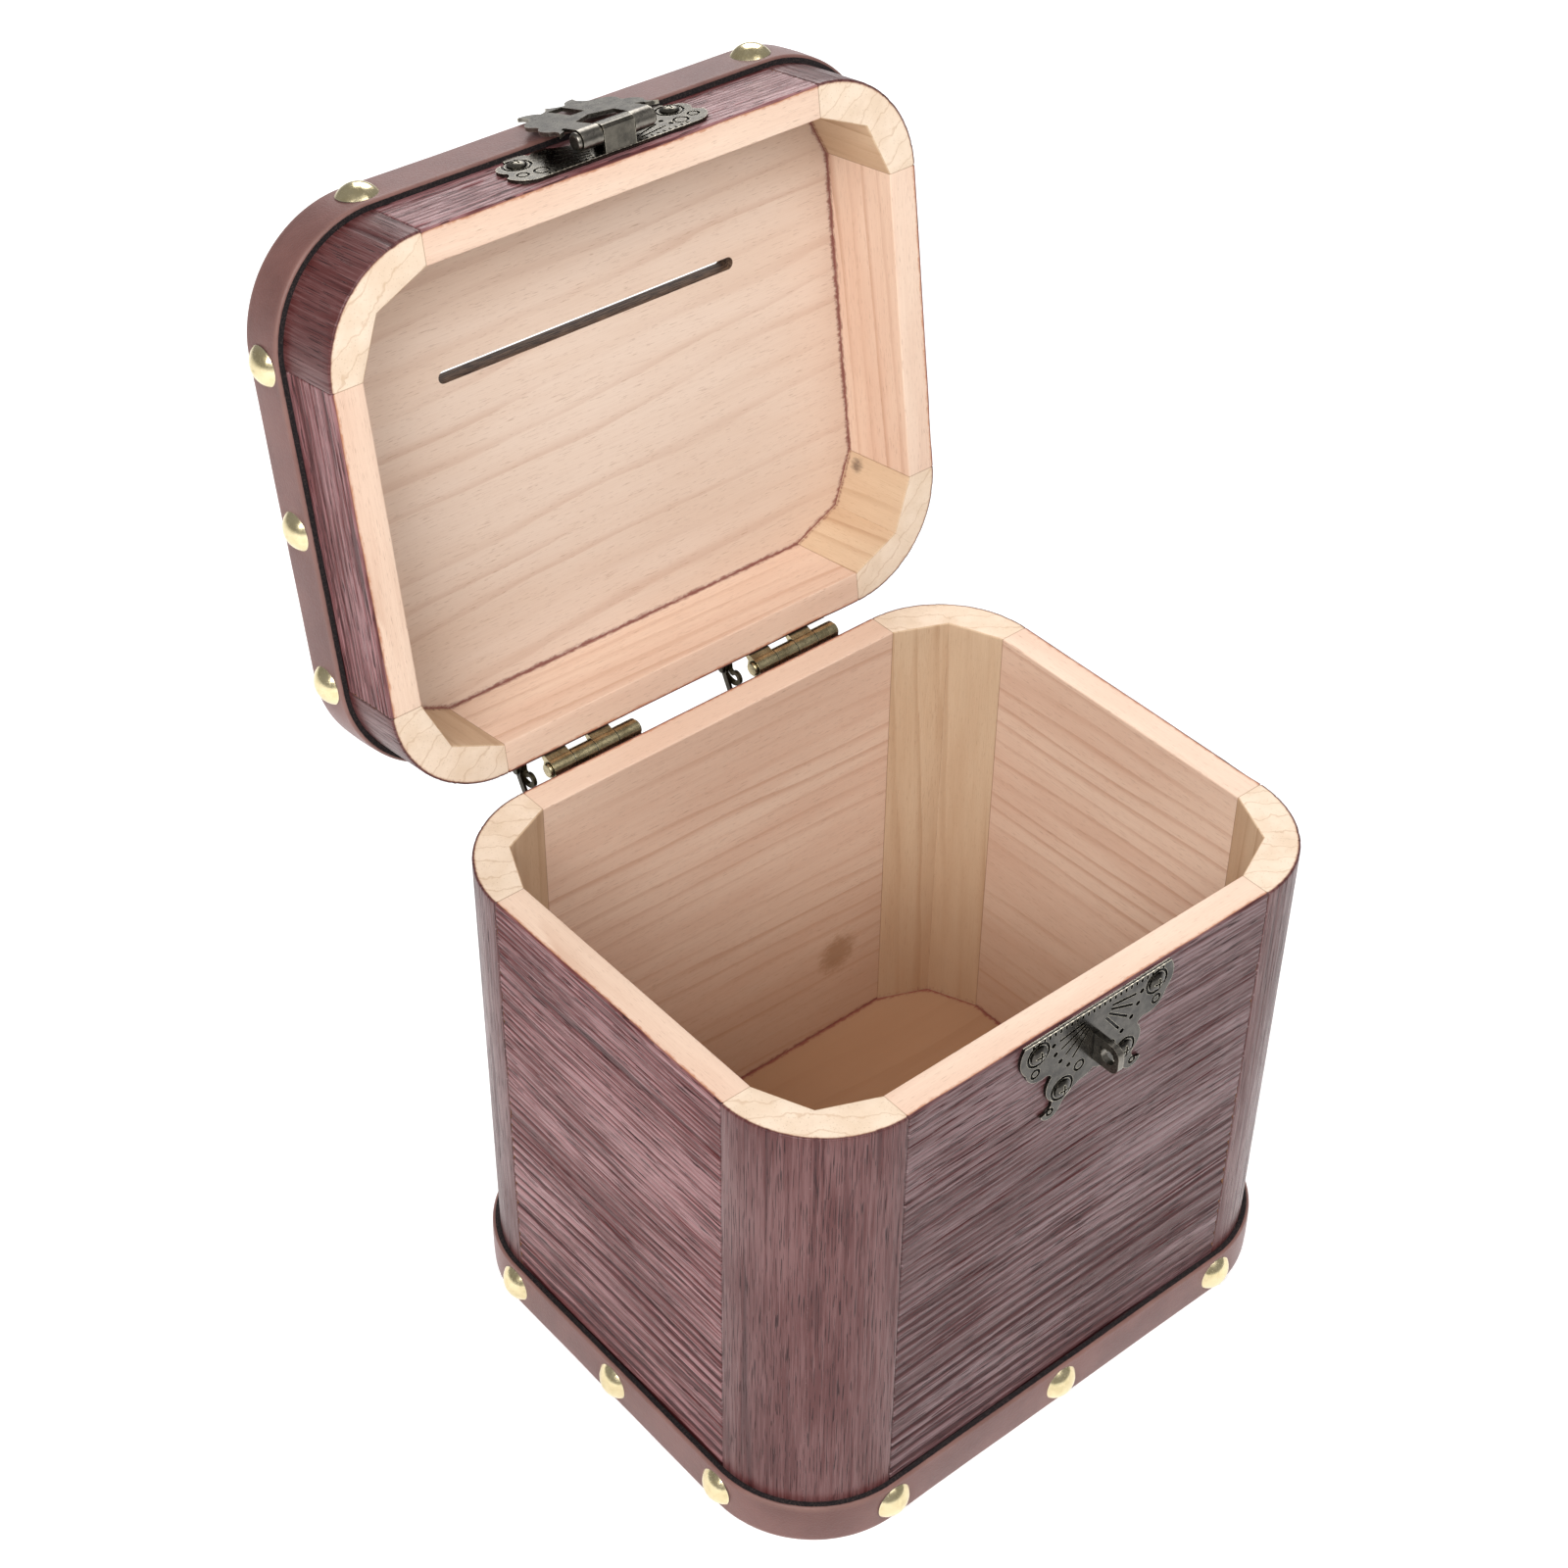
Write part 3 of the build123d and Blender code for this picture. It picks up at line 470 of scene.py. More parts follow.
def leather_edge(name):
    """The cut edge, dyed black, with loose fibres."""
    f = Finish(name)
    place_mm = f.place()
    fibre = f.noise(place_mm, 2.4, 2.4, 2.4, 5.0, 0.75)
    colour = f.mix(f.span(fibre, 0.45, 0.75), (0.010, 0.008, 0.009), (0.075, 0.050, 0.045))
    return f.set(Base_Color=colour, Roughness=0.8, Normal=f.bump(fibre, 0.22, 0.9), Specular_IOR_Level=0.25)


PAINTED_SHADE_BLUR = 0.5
ENGRAVED_DEPTHS = ((0.08, 0.2), (0.36, 0.46))


def old_metal(name, shade, body, edge, rough, dirt=1.0, wear=1.0, scratch=0.012, engraved=None, painted_shade_spans=()):
    """Antiqued metal: dark in its hollows, rubbed bright along its edges, finely brushed.

    engraved is the matrix that a front plate was turned by, for plates whose engraving is darkened: the
    metal between the two ENGRAVED_DEPTHS below its face. The last argument lists stretches along X that are
    painted dark: painted shade where the stay fins sit in the gap between lid and box.
    """
    f = Finish(name)
    place_mm = f.place()
    cloud = f.noise(place_mm, 0.35, 0.35, 0.35, 4.0, 0.6)
    tarnish = f.noise(place_mm, 1.6, 1.6, 1.6, 4.0, 0.7)
    brushed = f.noise(place_mm, 0.9, 9.0, 9.0, 3.0, 0.6)
    hollow = f.span(f.near(0.5, inside=False), 0.10, 0.42, 0.0, dirt)
    rubbed = f.span(f.near(0.35, inside=True), 0.32, 0.58, 0.0, wear)
    colour = f.mix(f.span(cloud, 0.35, 0.7), body, shade)
    colour = f.mix(f.span(tarnish, 0.5, 0.75, 0.0, 0.15), colour, shade)
    colour = f.mix(f.math("MULTIPLY", rubbed, f.span(tarnish, 0.2, 0.6, 0.5, 1.0)), colour, edge)
    # Painted shade: the listed stretches of the hinges, where the stay fins sit in the gap, are painted dark
    # like the hollows.
    for low_x, high_x in painted_shade_spans:
        blur = ((low_x, low_x + PAINTED_SHADE_BLUR), (high_x, high_x + PAINTED_SHADE_BLUR))
        within = f.hump(f.part(place_mm, "X"), *blur)
        hollow = f.math("MAXIMUM", hollow, within)
    if engraved:
        row = engraved.inverted()[1]
        sunk = f.node("VectorMath", operation="DOT_PRODUCT")
        f.feed(sunk.inputs[0], place_mm)
        sunk.inputs[1].default_value = row[:3]
        deep = f.math("ADD", sunk.outputs["Value"], row[3] / MM + HALF_D + PLATE_THICK)
        cut = f.hump(deep, *ENGRAVED_DEPTHS)
        hollow = f.math("MAXIMUM", hollow, cut)
    colour = f.mix(hollow, colour, tuple(0.18 * value for value in shade))
    roughness = f.span(tarnish, 0.3, 0.7, rough - 0.05, rough + 0.06)
    roughness = f.math("ADD", roughness, f.math("MULTIPLY", hollow, 0.25))
    height = f.math("ADD", f.math("MULTIPLY", brushed, 0.5), f.math("MULTIPLY", tarnish, 0.5))
    return f.set(
        Base_Color=colour,
        Metallic=1.0,
        Roughness=roughness,
        Normal=f.bump(height, scratch, 0.4),
    )


BOARD_STAIN = stained_wood(
    "stained_board", pore_long=0.15, pore_fine=3.6, base=(0.106, 0.023, 0.023), worn_and_sheen=(0.290, 0.134, 0.138)
)
# A darker copy of the board stain for the base's front board: painted shade, since that face is less lit than
# the left board.
SHADED_FRONT_STAIN = stained_wood(
    "stained_front_painted_shade", pore_long=0.15, pore_fine=3.6, base=(0.062, 0.014, 0.014), worn_and_sheen=(0.165, 0.088, 0.092)
)
STAVE_STAIN = stained_wood(
    "stained_stave", pore_long=0.11, pore_fine=3.8, base=(0.082, 0.020, 0.019), worn_and_sheen=(0.150, 0.066, 0.064)
)
KNOT = ((72.0, 42.1, 149.1), 3.0, (0.08, 0.045, 0.032))
DAMP_SPOT = ((37.7, 58.0, 31.8), 8.0, (0.30, 0.155, 0.075))
BOARD_BARE = bare_wood(
    "bare_board",
    pale=(0.780, 0.595, 0.465),
    deep=(0.705, 0.495, 0.375),
    line=(0.52, 0.30, 0.20),
    spacing=5.6,
    bent=1.5,
    bold=0.6,
    marks=(KNOT, DAMP_SPOT),
)
STAVE_BARE = bare_wood(
    "bare_stave",
    pale=(0.640, 0.475, 0.320),
    deep=(0.560, 0.385, 0.245),
    line=(0.40, 0.235, 0.13),
    spacing=8.5,
    bent=1.0,
    bold=0.55,
    marks=(KNOT,),
)
PANEL_BARE = bare_wood(
    "bare_panel",
    pale=(0.705, 0.565, 0.462),
    deep=(0.665, 0.510, 0.402),
    line=(0.52, 0.34, 0.25),
    spacing=8.0,
    bent=2.0,
    bold=0.5,
)
# A darker, browner copy of the bare wood for the floor panel: painted shade for the floor deep inside the
# box.
SHADED_FLOOR_BARE = bare_wood(
    "bare_floor_painted_shade",
    pale=(0.440, 0.265, 0.160),
    deep=(0.380, 0.215, 0.125),
    line=(0.27, 0.13, 0.07),
    spacing=9.0,
    bent=2.0,
    bold=0.5,
)
STAVE_END = end_grain("stave_end_grain")
SLOT_WOOD = slot_wood("slot_wood")
LEATHER = leather("leather")
LEATHER_EDGE = leather_edge("leather_edge")
TACK = old_metal(
    "tack_brass",
    shade=(0.70, 0.59, 0.34),
    body=(0.80, 0.69, 0.43),
    edge=(0.92, 0.85, 0.62),
    rough=0.22,
    dirt=0.75,
    wear=0.3,
    scratch=0.006,
)
# Where the stay fins sit on the hinges; these stretches are painted dark as painted shade in the gap between
# lid and box.
STAY_FINS = ((-50.0, -44.4), (0.0, 16.6))
HINGE = old_metal(
    "hinge_brass",
    shade=(0.27, 0.22, 0.125),
    body=(0.47, 0.395, 0.235),
    edge=(0.78, 0.71, 0.51),
    rough=0.27,
    dirt=0.95,
    painted_shade_spans=STAY_FINS,
)
# The stay is painted near-black as painted shade: it stands in the shaded gap between lid and box.
SHADED_STAY = old_metal(
    "stay_brass_painted_shade", shade=(0.025, 0.020, 0.012), body=(0.05, 0.042, 0.026), edge=(0.09, 0.075, 0.05), rough=0.38
)
LID_PLATE = old_metal(
    "lid_plate_bronze",
    shade=(0.085, 0.078, 0.066),
    body=(0.150, 0.136, 0.112),
    edge=(0.72, 0.66, 0.53),
    rough=0.24,
    engraved=OPENED,
)
BOX_PLATE = old_metal(
    "box_plate_bronze",
    shade=(0.040, 0.037, 0.033),
    body=(0.085, 0.078, 0.068),
    edge=(0.60, 0.55, 0.44),
    rough=0.24,
    engraved=STILL,
)
PEWTER = old_metal(
    "flap_pewter",
    shade=(0.12, 0.11, 0.096),
    body=(0.235, 0.215, 0.185),
    edge=(0.66, 0.61, 0.50),
    rough=0.30,
    dirt=0.8,
    wear=0.9,
)


# Woodwork: every wall piece is a block bent round the outline, its outer face brushed into ridges

EDGE_ROUND = 0.42
INNER_ROUND = 0.3
STAINED_LIP = 3.0
SEAM_DEEP = 0.22
SEAM_WIDE = 0.32
THROUGH_WALL = np.array([0.0, 0.02, 0.05, 0.1, 0.2, 0.45, 0.75, 1.0])
ROUND_STEPS = np.radians([0.0, 30.0, 60.0, 90.0])
SEAM_STEPS = np.array([0.0, 0.13, 0.3, 0.6, 1.1])


def seam_columns(long, step):
    """Places along a face, close together next to its two seams."""
    middle = np.linspace(SEAM_STEPS[-1], long - SEAM_STEPS[-1], max(int(long / step), 2))[1:-1]
    return np.concatenate([SEAM_STEPS, middle, long - SEAM_STEPS[::-1]])


def edge_rows(low, high, step):
    """Heights up a face, close together over the rounding of its two ends."""
    fall = EDGE_ROUND * (1 - np.sin(ROUND_STEPS))
    middle = np.linspace(low + EDGE_ROUND, high - EDGE_ROUND, max(int((high - low) / step), 2))[1:-1]
    return np.concatenate([low + fall[::-1], middle, high - fall])


def rounding(z, low, high, radius):
    """How far a face has curved inwards where it turns into its ends."""
    near = np.minimum(z - low, high - z)
    inward = np.clip(radius - near, 0, radius)
    return radius - np.sqrt(np.maximum(radius**2 - inward**2, 0))


def ring_table(wide, narrow):
    """Ring number at each millimetre of height, for rings wide low down and narrow at the top."""
    heights = np.arange(-20.0, LID_HIGH + 20.0, 0.25)
    spacing = wide + (narrow - wide) * smooth(heights, 12.0, 112.0)
    return heights, np.cumsum(0.25 / spacing)


def board_relief(along, z, wide, narrow, lively, seed):
    """How deep the brush has cut between a board's hard rings, from 0 to 1."""
    wander = 4.5 * (noise(along / 90, z / 40, seed) - 0.5) + 1.1 * (noise(along / 26, z / 7, seed + 1) - 0.5)
    heights, rings = ring_table(wide, narrow)
    ring = np.interp(z + wander, heights, rings)
    turn = ring - np.floor(ring)
    groove = smooth(turn, 0.42, 0.72) * (1 - smooth(turn, 0.84, 1.0))
    strength = smooth(noise(along / 42, np.floor(ring) * 1.7, seed + 2), 0.1, 0.75)
    low_down = lively + (1 - lively) * (1 - smooth(z, 30.0, 95.0))
    scratch = smooth(noise(along / 34, (z + wander) / 0.62, seed + 6), 0.66, 0.9)
    return np.maximum(groove * (0.25 + 0.75 * strength) * low_down, 0.55 * scratch)


def stave_relief(across, z, seed):
    """The same on a stave, where the grain stands upright."""
    lines = noise(across / 0.75, z / 26, seed) * 0.6 + noise(across / 1.7, z / 60, seed + 1) * 0.4
    return smooth(lines, 0.52, 0.86) * 0.55


def bridge(outer_line, inner_line):
    """A grid of points from an outer line to an inner one, through the wall."""
    share = THROUGH_WALL[None, :, None]
    return outer_line[:, None] * (1 - share) + inner_line[:, None] * share


def block(name, out_line, in_line, normal, along_mm, z, sink, grain_of, faces, matrix, foot_z, far_fit):
    """One wall piece. Lines and normals are columns x 2, and faces are its outer, inner and end materials.

    sink holds two grids of rows x columns: how far the outer face is cut back, and how grooved it is.
    far_fit is how much tighter the seam at the far end is closed than the one at the near end.
    """
    stained, bare, end = faces
    low, high = z[0], z[-1]
    heights = z[:, None] + 0 * along_mm[None, :]
    joint = np.minimum(along_mm, along_mm[-1] - along_mm + far_fit)[None, :]
    curl = rounding(heights, low, high, EDGE_ROUND)
    seam_fall = SEAM_DEEP * (1 - smooth(joint, 0.0, SEAM_WIDE))
    inset = sink["depth"] + curl + seam_fall * (0.4 + 1.2 * noise(heights / 2.2, along_mm[None, :], 5))
    outer = np.dstack([out_line[None, :, k] - normal[None, :, k] * inset for k in (0, 1)] + [heights])
    inner_curl = rounding(heights, low, high, INNER_ROUND)
    inner = np.dstack([in_line[None, :, k] + normal[None, :, k] * inner_curl for k in (0, 1)] + [heights])
    patches = Patches()

    def lay(points, material, depth, joint_mm, **more):
        """Adds a grid, with its grain coordinates worked out from where its points are."""
        patches.add(points, grain_of(points, depth), material, depth=depth, joint=joint_mm, **more)

    lay(outer, stained, 0.0 * heights, joint + 0 * heights, relief=sink["relief"], foot=99.0)
    inside = np.where(z[1:] > LID_HIGH - STAINED_LIP, stained, bare)
    lay(inner, inside, WALL + 0 * heights, joint + 0 * heights, foot=np.abs(heights - foot_z))
    for row, on_top in ((0, False), (-1, True)):
        cap = bridge(outer[row], inner[row])
        depth = np.broadcast_to(THROUGH_WALL * WALL, cap.shape[:2])
        shown = stained if on_top and high == LID_HIGH else end
        lay(cap, shown, depth, joint.T + 0 * depth, foot=99.0)
    for column in (0, -1):
        side = bridge(outer[:, column], inner[:, column])
        depth = np.broadcast_to(THROUGH_WALL * WALL, side.shape[:2])
        lay(side, bare, depth, 0 * depth, foot=99.0)
    return patches.make(name, matrix, WALL_FINISHES)


WALL_FINISHES = [BOARD_STAIN, STAVE_STAIN, BOARD_BARE, STAVE_BARE, STAVE_END, SHADED_FRONT_STAIN]
BOARD_FACES, SHADED_FRONT_FACES, STAVE_FACES = (0, 2, 2), (5, 2, 2), (1, 3, 4)
BOARD_FIT, STAVE_FIT = 0.0, 0.45
BOARD_LOOKS = {
    "front": {"wide": 4.0, "narrow": 1.5, "lively": 0.3, "seed": 11},
    "back": {"wide": 3.6, "narrow": 1.4, "lively": 0.35, "seed": 23},
    "left": {"wide": 3.7, "narrow": 1.5, "lively": 0.5, "seed": 37},
    "right": {"wide": 3.4, "narrow": 1.4, "lively": 0.4, "seed": 51},
}
BRUSH_DEEP = 0.5
BOARD_STEP, BOARD_ROW_STEP, BOARD_FINE = 2.0, 0.34, 0.05
STAVE_STEP, STAVE_ROW_STEP, STAVE_FINE, STAVE_DEEP = 0.36, 2.2, 0.04, 0.2
PIECE_SHIFT = 137.0


def make_board(part, side, low, high, matrix, foot_z):
    along_x = side in ("front", "back")
    out = -1 if side in ("front", "left") else 1
    half = SEAM_X if along_x else SEAM_Y
    face = out * (HALF_D if along_x else HALF_W)
    along_mm = seam_columns(2 * half, BOARD_STEP)
    place_mm = along_mm - half
    z = edge_rows(low, high, BOARD_ROW_STEP)
    look = BOARD_LOOKS[side]
    fixed = np.full_like(place_mm, face)
    normal = np.zeros((len(place_mm), 2))
    normal[:, 1 if along_x else 0] = out
    out_line = np.stack([place_mm, fixed] if along_x else [fixed, place_mm], -1)
    relief = board_relief(place_mm[None, :], z[:, None], **look)
    fine = BOARD_FINE * noise(place_mm[None, :] / 9, z[:, None] / 0.8, look["seed"] + 3)
    shift = PIECE_SHIFT * look["seed"]

    def grain_of(points, depth):
        along = points[..., 0 if along_x else 1]
        return np.stack([along + shift, points[..., 2] + 0 * along, depth + shift], -1)

    node = f"{part}_{side}_board"
    sink = {"depth": BRUSH_DEEP * relief + fine, "relief": relief}
    # The base's front board takes the darker stain copy, which is painted shade.
    faces = SHADED_FRONT_FACES if node == "base_front_board" else BOARD_FACES
    in_line = out_line - normal * WALL
    lines = (out_line, in_line, normal, along_mm, z)
    piece = block(f"{node}_brushed", *lines, sink, grain_of, faces, matrix, foot_z, BOARD_FIT)
    stand_for(piece, part, node)


def make_stave(part, sx, sy, faces_y, low, high, matrix, foot_z):
    depth_name = "front" if sy < 0 else "back"
    side_name = "left" if sx < 0 else "right"
    seed = 101 + 7 * (sx + 2 * sy) + (3 if faces_y else 0)
    arc = RADIUS * math.radians(45)
    along_mm = seam_columns(arc, STAVE_STEP)
    angle = along_mm / RADIUS
    lean = [np.sin(angle), np.cos(angle)]
    if not faces_y:
        lean = lean[::-1]
    normal = np.stack([sx * lean[0], sy * lean[1]], -1)
    out_line = np.array([sx * SEAM_X, sy * SEAM_Y]) + RADIUS * normal
    seam_in = (SEAM_X, HALF_D - WALL) if faces_y else (HALF_W - WALL, SEAM_Y)
    waist = np.array([HALF_W - WAIST, HALF_D - WAIST])
    t = (along_mm / arc)[:, None]
    in_line = (np.array(seam_in) * (1 - t) + waist * t) * np.array([sx, sy])
    z = edge_rows(low, high, STAVE_ROW_STEP)
    relief = stave_relief(along_mm[None, :], z[:, None], seed)
    fine = STAVE_FINE * noise(along_mm[None, :] / 0.8, z[:, None] / 12, seed + 5)
    shift = PIECE_SHIFT * seed

    def grain_of(points, depth):
        across = np.arctan2(sx * points[..., 0] - SEAM_X, sy * points[..., 1] - SEAM_Y) * RADIUS
        return np.stack([points[..., 2] + shift, across, depth + shift], -1)

    node = f"{part}_{depth_name}_{side_name}_stave_{depth_name if faces_y else side_name}"
    sink = {"depth": STAVE_DEEP * relief + fine, "relief": relief}
    lines = (out_line, in_line, normal, along_mm, z)
    piece = block(f"{node}_brushed", *lines, sink, grain_of, STAVE_FACES, matrix, foot_z, STAVE_FIT)
    stand_for(piece, part, node)


def make_walls(part, low, high, matrix, foot_z):
    for side in BOARD_LOOKS:
        make_board(part, side, low, high, matrix, foot_z)
    for sx in (-1, 1):
        for sy in (-1, 1):
            for faces_y in (True, False):
                make_stave(part, sx, sy, faces_y, low, high, matrix, foot_z)


def wall_distance(x, y):
    """How far a point is inside the walls' inner outline."""
    straight = np.minimum(HALF_W - WALL - np.abs(x), HALF_D - WALL - np.abs(y))
    rise, run = WAIST - WALL, RADIUS - WAIST
    u, v = HALF_W - WALL - np.abs(x), HALF_D - WALL - np.abs(y)
    steep = (u * rise + v * run - rise * (RADIUS - WALL)) / math.hypot(rise, run)
    shallow = (u * run + v * rise - rise * (RADIUS - WALL)) / math.hypot(rise, run)
    return np.minimum(straight, np.minimum(steep, shallow))


PANEL_LOOK = {"wide": 3.4, "narrow": 1.7, "lively": 0.5, "seed": 71}
PANEL_LOOK_FROM = 60.0
PANEL_STEP, PANEL_LONG_STEP = 1.0, 6.0
PANEL_DEEP = 0.9 * BRUSH_DEEP
FAR_FROM_JOINT = 9.0


def make_panel(part, node, low, high, matrix, shown_up, bare):
    """A panel cut into a fine grid, so that its stained top can be brushed into ridges."""
    cut = bmesh.new()
    cut.from_mesh(frame["nodes"][node].data)
    bmesh.ops.transform(cut, matrix=Matrix.Scale(1 / MM, 4) @ matrix.inverted(), verts=cut.verts)
    steps = [((0, y, 0), (0, 1, 0)) for y in np.arange(low[1] + 0.7 * PANEL_STEP, high[1], PANEL_STEP)]
    across = np.arange(low[0] + PANEL_LONG_STEP / 2, high[0], PANEL_LONG_STEP)
    steps += [((x, 0, 0), (1, 0, 0)) for x in across]
    for spot, facing in steps:
        everything = cut.verts[:] + cut.edges[:] + cut.faces[:]
        bmesh.ops.bisect_plane(cut, geom=everything, plane_co=spot, plane_no=facing, dist=1e-4)
    cut.normal_update()
    for face in cut.faces:
        upward = face.normal.z
        face.material_index = 0 if upward > 0.5 and shown_up else 1 if abs(upward) > 0.5 else 2
    mesh = bpy.data.meshes.new(f"{node}_cut")
    cut.to_mesh(mesh)
    cut.free()
    points = np.array([v.co for v in mesh.vertices])
    x, y, z = points.T
    inside = wall_distance(x, y)
    relief = board_relief(x, y + PANEL_LOOK_FROM, **PANEL_LOOK) * (inside > 0.4)
    on_top = (z > high[2] - 0.01) & shown_up
    points[:, 2] -= np.where(on_top, PANEL_DEEP * relief, 0.0)
    mesh.vertices.foreach_set("co", (points * MM).ravel())
    store(mesh, "grain", np.stack([x + PIECE_SHIFT, y, z], -1), "FLOAT_VECTOR")
    store(mesh, "relief", np.where(on_top, relief, 0.0), "FLOAT")
    store(mesh, "depth", np.full(len(x), WALL), "FLOAT")
    store(mesh, "joint", np.where(on_top, np.maximum(inside, 0), FAR_FROM_JOINT), "FLOAT")
    store(mesh, "foot", np.maximum(inside, 0.0), "FLOAT")
    piece = place(f"{node}_grained", mesh, matrix, [BOARD_STAIN, bare, SLOT_WOOD])
    stand_for(piece, part, node)


# Leather bands

BAND_CROWN = 0.16
BAND_ROUND = 0.8
BAND_SWELL, BAND_WAVE, BAND_FRAY = 0.10, 0.14, 0.12
BAND_ROWS = 15
DIMPLE_DEEP = 0.28
DIMPLE_WIDE = 4.6
BAND_STEP = 0.8
BAND_GAP = 0.3


def outline(u):
    """Point and outward normal at u millimetres round the walls, from the middle of the back."""
    runs = [SEAM_X, RADIUS * math.pi / 2, 2 * SEAM_Y, RADIUS * math.pi / 2, 2 * SEAM_X]
    runs += [RADIUS * math.pi / 2, 2 * SEAM_Y, RADIUS * math.pi / 2, SEAM_X]
    ends = np.cumsum([0.0] + runs)
    starts = ((0, HALF_D), (SEAM_X, SEAM_Y), (HALF_W, SEAM_Y), (SEAM_X, -SEAM_Y), (SEAM_X, -HALF_D))
    starts += ((-SEAM_X, -SEAM_Y), (-HALF_W, -SEAM_Y), (-SEAM_X, SEAM_Y), (-SEAM_X, HALF_D))
    place_mm, normal = np.zeros((len(u), 2)), np.zeros((len(u), 2))
    for k, (a, b) in enumerate(zip(ends, ends[1:])):
        here = (u >= a - 1e-9) & (u <= b + 1e-9)
        facing = math.radians(90 - 90 * (k // 2))
        along = u[here] - a
        if k % 2 == 0:
            ahead = np.array([math.sin(facing), -math.cos(facing)])
            normal[here] = (math.cos(facing), math.sin(facing))
            place_mm[here] = np.array(starts[k]) + along[:, None] * ahead
        else:
            angle = facing - along / RADIUS
            normal[here] = np.stack([np.cos(angle), np.sin(angle)], -1)
            place_mm[here] = np.array(starts[k]) + RADIUS * normal[here]
    return place_mm, normal, ends[-1]


def tack_middles(node, matrix):
    """The middle of each tack of a group, from its own loose pieces."""
    loose = bmesh.new()
    loose.from_mesh(frame["nodes"][node].data)
    bmesh.ops.transform(loose, matrix=Matrix.Scale(1 / MM, 4) @ matrix.inverted(), verts=loose.verts)
    left, middles = set(loose.verts), []
    while left:
        island, queue = [], [left.pop()]
        while queue:
            vert = queue.pop()
            island.append(vert.co)
            for edge in vert.link_edges:
                other = edge.other_vert(vert)
                if other in left:
                    left.remove(other)
                    queue.append(other)
        co = np.array(island)
        middles.append((co.min(0) + co.max(0)) / 2)
    loose.free()
    return middles


def make_band(part, node, low, matrix, tacks, seed):
    """A strip of leather with a crowned face, dimpled round its tacks, and black cut edges."""
    around = outline(np.zeros(1))[2]
    u = np.linspace(BAND_GAP / 2, around - BAND_GAP / 2, int(around / BAND_STEP))
    line, normal, _ = outline(u)
    corner = np.radians([0, 25, 50, 75])
    lift = BAND_ROUND * (1 - np.cos(corner))
    thin = BAND_ROUND * (1 - np.sin(corner))
    across = np.linspace(BAND_ROUND, BAND_TALL - BAND_ROUND, BAND_ROWS)
    heights = np.concatenate([lift * 0.9, across, BAND_TALL - lift[::-1] * 0.9])
    fall = np.concatenate([thin * 0.8, 0 * across, thin[::-1] * 0.8])
    mid = heights - BAND_TALL / 2
    crown = BAND_CROWN * (1 - (mid / (BAND_TALL / 2)) ** 2)
    swell = BAND_SWELL * (noise(u[:, None] / 17, heights[None, :] / 6, seed) - 0.5)
    face = BAND_THICK + crown[None, :] - fall[None, :] + swell
    dent = np.zeros_like(face)
    z = low + heights
    for spot in tack_middles(tacks, matrix):
        near = np.hypot(line[:, 0] - spot[0], line[:, 1] - spot[1])
        away = np.sqrt(np.minimum(near, 20)[:, None] ** 2 + (z[None, :] - spot[2]) ** 2)
        dent = np.maximum(dent, np.exp(-((away / DIMPLE_WIDE) ** 4)))
    face = face - DIMPLE_DEEP * dent
    wave = BAND_WAVE * (noise(u / 11, 0 * u, seed + 1) - 0.5)
    patches = Patches()

    def ring(offset, height):
        """A rows x columns grid: round the box, and across the given section."""
        flat = line[:, None, :] + normal[:, None, :] * offset[:, :, None]
        return np.dstack([flat, height])

    tall = np.maximum(z[None, :] + wave[:, None], 0.0)
    edge_rub = 0.8 * smooth(np.abs(mid), 4.6, 5.8)[None, :]
    tack_rub = 0.5 * smooth(dent, 0.2, 0.5) * (1 - smooth(dent, 0.5, 0.9))
    rub = edge_rub + tack_rub
    grid = ring(face, tall)
    patches.add(grid, grid, 0, relief=rub * (0.4 + 0.6 * noise(u / 6, 0 * u, seed + 2))[:, None])
    for end in (0, -1):
        share = np.array([0.0, 0.25, 0.5, 0.75, 1.0])
        offset = face[:, end][:, None] * (1 - share)[None, :]
        frayed = BAND_FRAY * (noise(u[:, None] / 1.1, share[None, :] * 3, seed + 4) - 0.5)
        frayed[:, [0, -1]] = 0
        height = np.maximum(tall[:, end][:, None] + frayed, 0.0)
        grid = ring(offset, height + 0 * offset)
        patches.add(grid, grid, 1)
    back = np.stack([np.zeros(len(u)), np.zeros(len(u))], -1)
    grid = ring(back, np.stack([tall[:, 0], tall[:, -1]], -1))
    patches.add(grid, grid, 1)
    piece = patches.make(f"{node}_leather", matrix, [LEATHER, LEATHER_EDGE])
    close_ends(piece)
    stand_for(piece, part, node)


def close_ends(piece):
    """Closes the band's two cut ends."""
    work = bmesh.new()
    work.from_mesh(piece.data)
    open_edges = [e for e in work.edges if len(e.link_faces) == 1]
    made = bmesh.ops.holes_fill(work, edges=open_edges, sides=0)
    for face in made["faces"]:
        face.material_index = 1
    bmesh.ops.recalc_face_normals(work, faces=work.faces)
    work.to_mesh(piece.data)
    work.free()


# Metal keeps its CAD shapes

METAL = {
    "tacks": TACK,
    "stay": SHADED_STAY,
    "hinge": HINGE,
    "hasp_plate": LID_PLATE,
    "staple_plate": BOX_PLATE,
    "hasp": PEWTER,
    "staple": PEWTER,
}


def finish_metal():
    for name, node in frame["nodes"].items():
        if node.hide_render:
            continue
        finish = next(made for word, made in METAL.items() if word in name)
        node.data.materials.clear()
        node.data.materials.append(finish)


# Floor, light and camera

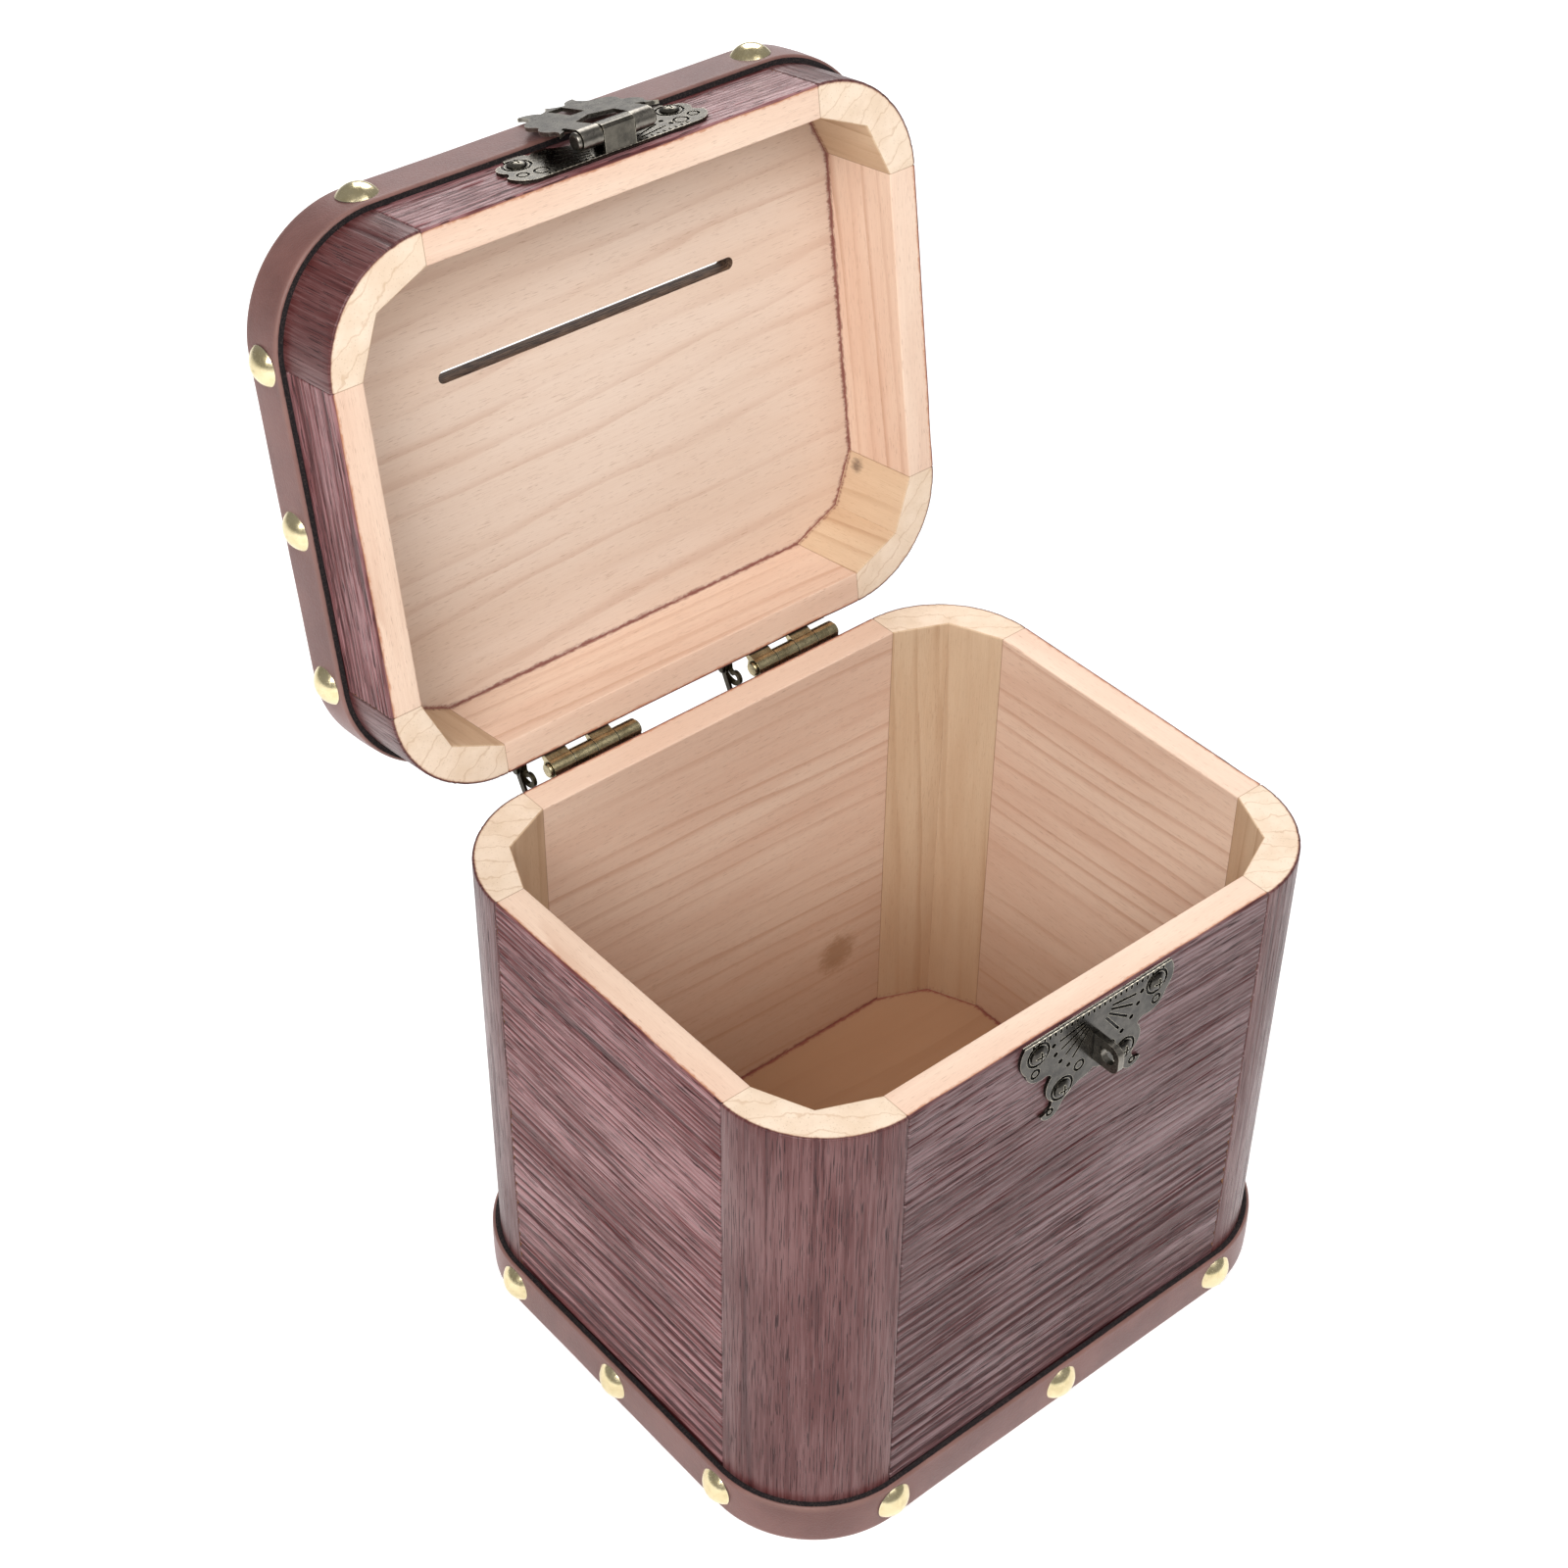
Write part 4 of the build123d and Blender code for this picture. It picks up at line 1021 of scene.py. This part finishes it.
FLOOR_HALF = 6.0
FLOOR_GREY = 0.8
FLOOR_GLOW = 0.4
WORLD_GLOW = 0.3
CAMERA_AZIMUTH = -40.466
CAMERA_ELEVATION = 39.586
CAMERA_ROLL = 0.75
CAMERA_DISTANCE = 0.6395
CAMERA_TARGET = Vector((-0.0084, 0.0264, 0.1343))
CAMERA_LENS = 64.82


def make_floor():
    sides = bmesh.new()
    bmesh.ops.create_grid(sides, x_segments=8, y_segments=8, size=FLOOR_HALF)
    mesh = bpy.data.meshes.new("floor")
    sides.to_mesh(mesh)
    sides.free()
    f = Finish("pale_floor")
    pale = f.set(
        Base_Color=(FLOOR_GREY, FLOOR_GREY, FLOOR_GREY),
        Roughness=0.7,
        Specular_IOR_Level=0.2,
        Emission_Color=(1.0, 1.0, 1.0),
        Emission_Strength=FLOOR_GLOW,
    )
    mesh.materials.append(pale)
    piece = bpy.data.objects.new("floor", mesh)
    bpy.context.scene.collection.objects.link(piece)
    piece.location.z = cad_box[0].z


def make_light(name, place_m, target, size, power):
    data = bpy.data.lights.new(name, "AREA")
    data.shape, data.size, data.energy = "SQUARE", size, power
    light = bpy.data.objects.new(name, data)
    bpy.context.scene.collection.objects.link(light)
    light.location = place_m
    light.rotation_mode = "QUATERNION"
    light.rotation_quaternion = (Vector(target) - Vector(place_m)).to_track_quat("-Z", "Y")


def make_lights():
    world = bpy.data.worlds.new("studio")
    bpy.context.scene.world = world
    world.use_nodes = True
    world.node_tree.nodes["Background"].inputs["Color"].default_value = (1, 1, 1, 1)
    world.node_tree.nodes["Background"].inputs["Strength"].default_value = WORLD_GLOW
    centre = (0, 0, 0.12)
    make_light("key", (-1.1, -0.6, 1.2), centre, 0.9, 24.0)
    make_light("overhead", (0.1, -1.0, 1.45), centre, 1.0, 11.0)
    make_light("rear", (0.75, 0.95, 1.0), centre, 0.9, 11.0)


def make_camera():
    data = bpy.data.cameras.new("camera")
    data.lens = CAMERA_LENS
    camera = bpy.data.objects.new("camera", data)
    bpy.context.scene.collection.objects.link(camera)
    a, e = math.radians(CAMERA_AZIMUTH), math.radians(CAMERA_ELEVATION)
    back = Vector((math.sin(a) * math.cos(e), -math.cos(a) * math.cos(e), math.sin(e)))
    level = (-back).to_track_quat("-Z", "Y").to_matrix().to_4x4()
    roll = Matrix.Rotation(math.radians(CAMERA_ROLL), 4, "Z")
    camera.matrix_world = Matrix.Translation(CAMERA_TARGET + back * CAMERA_DISTANCE) @ level @ roll
    bpy.context.scene.camera = camera


def main():
    bpy.context.scene.view_settings.view_transform = "Standard"
    make_walls("base", front_low[2], BODY_TALL, STILL, floor_high[2])
    make_walls("lid", LID_LOW, LID_HIGH, OPENED, panel_low[2])
    make_panel("lid", "lid_panel", panel_low, panel_high, OPENED, True, PANEL_BARE)
    make_panel("base", "bottom_panel", floor_low, floor_high, STILL, False, SHADED_FLOOR_BARE)
    make_band("base", "base_band", base_band_low[2], STILL, "base_tacks", 5)
    make_band("lid", "lid_band", lid_band_low[2], OPENED, "lid_tacks", 8)
    finish_metal()
    make_floor()
    make_lights()
    make_camera()


main()
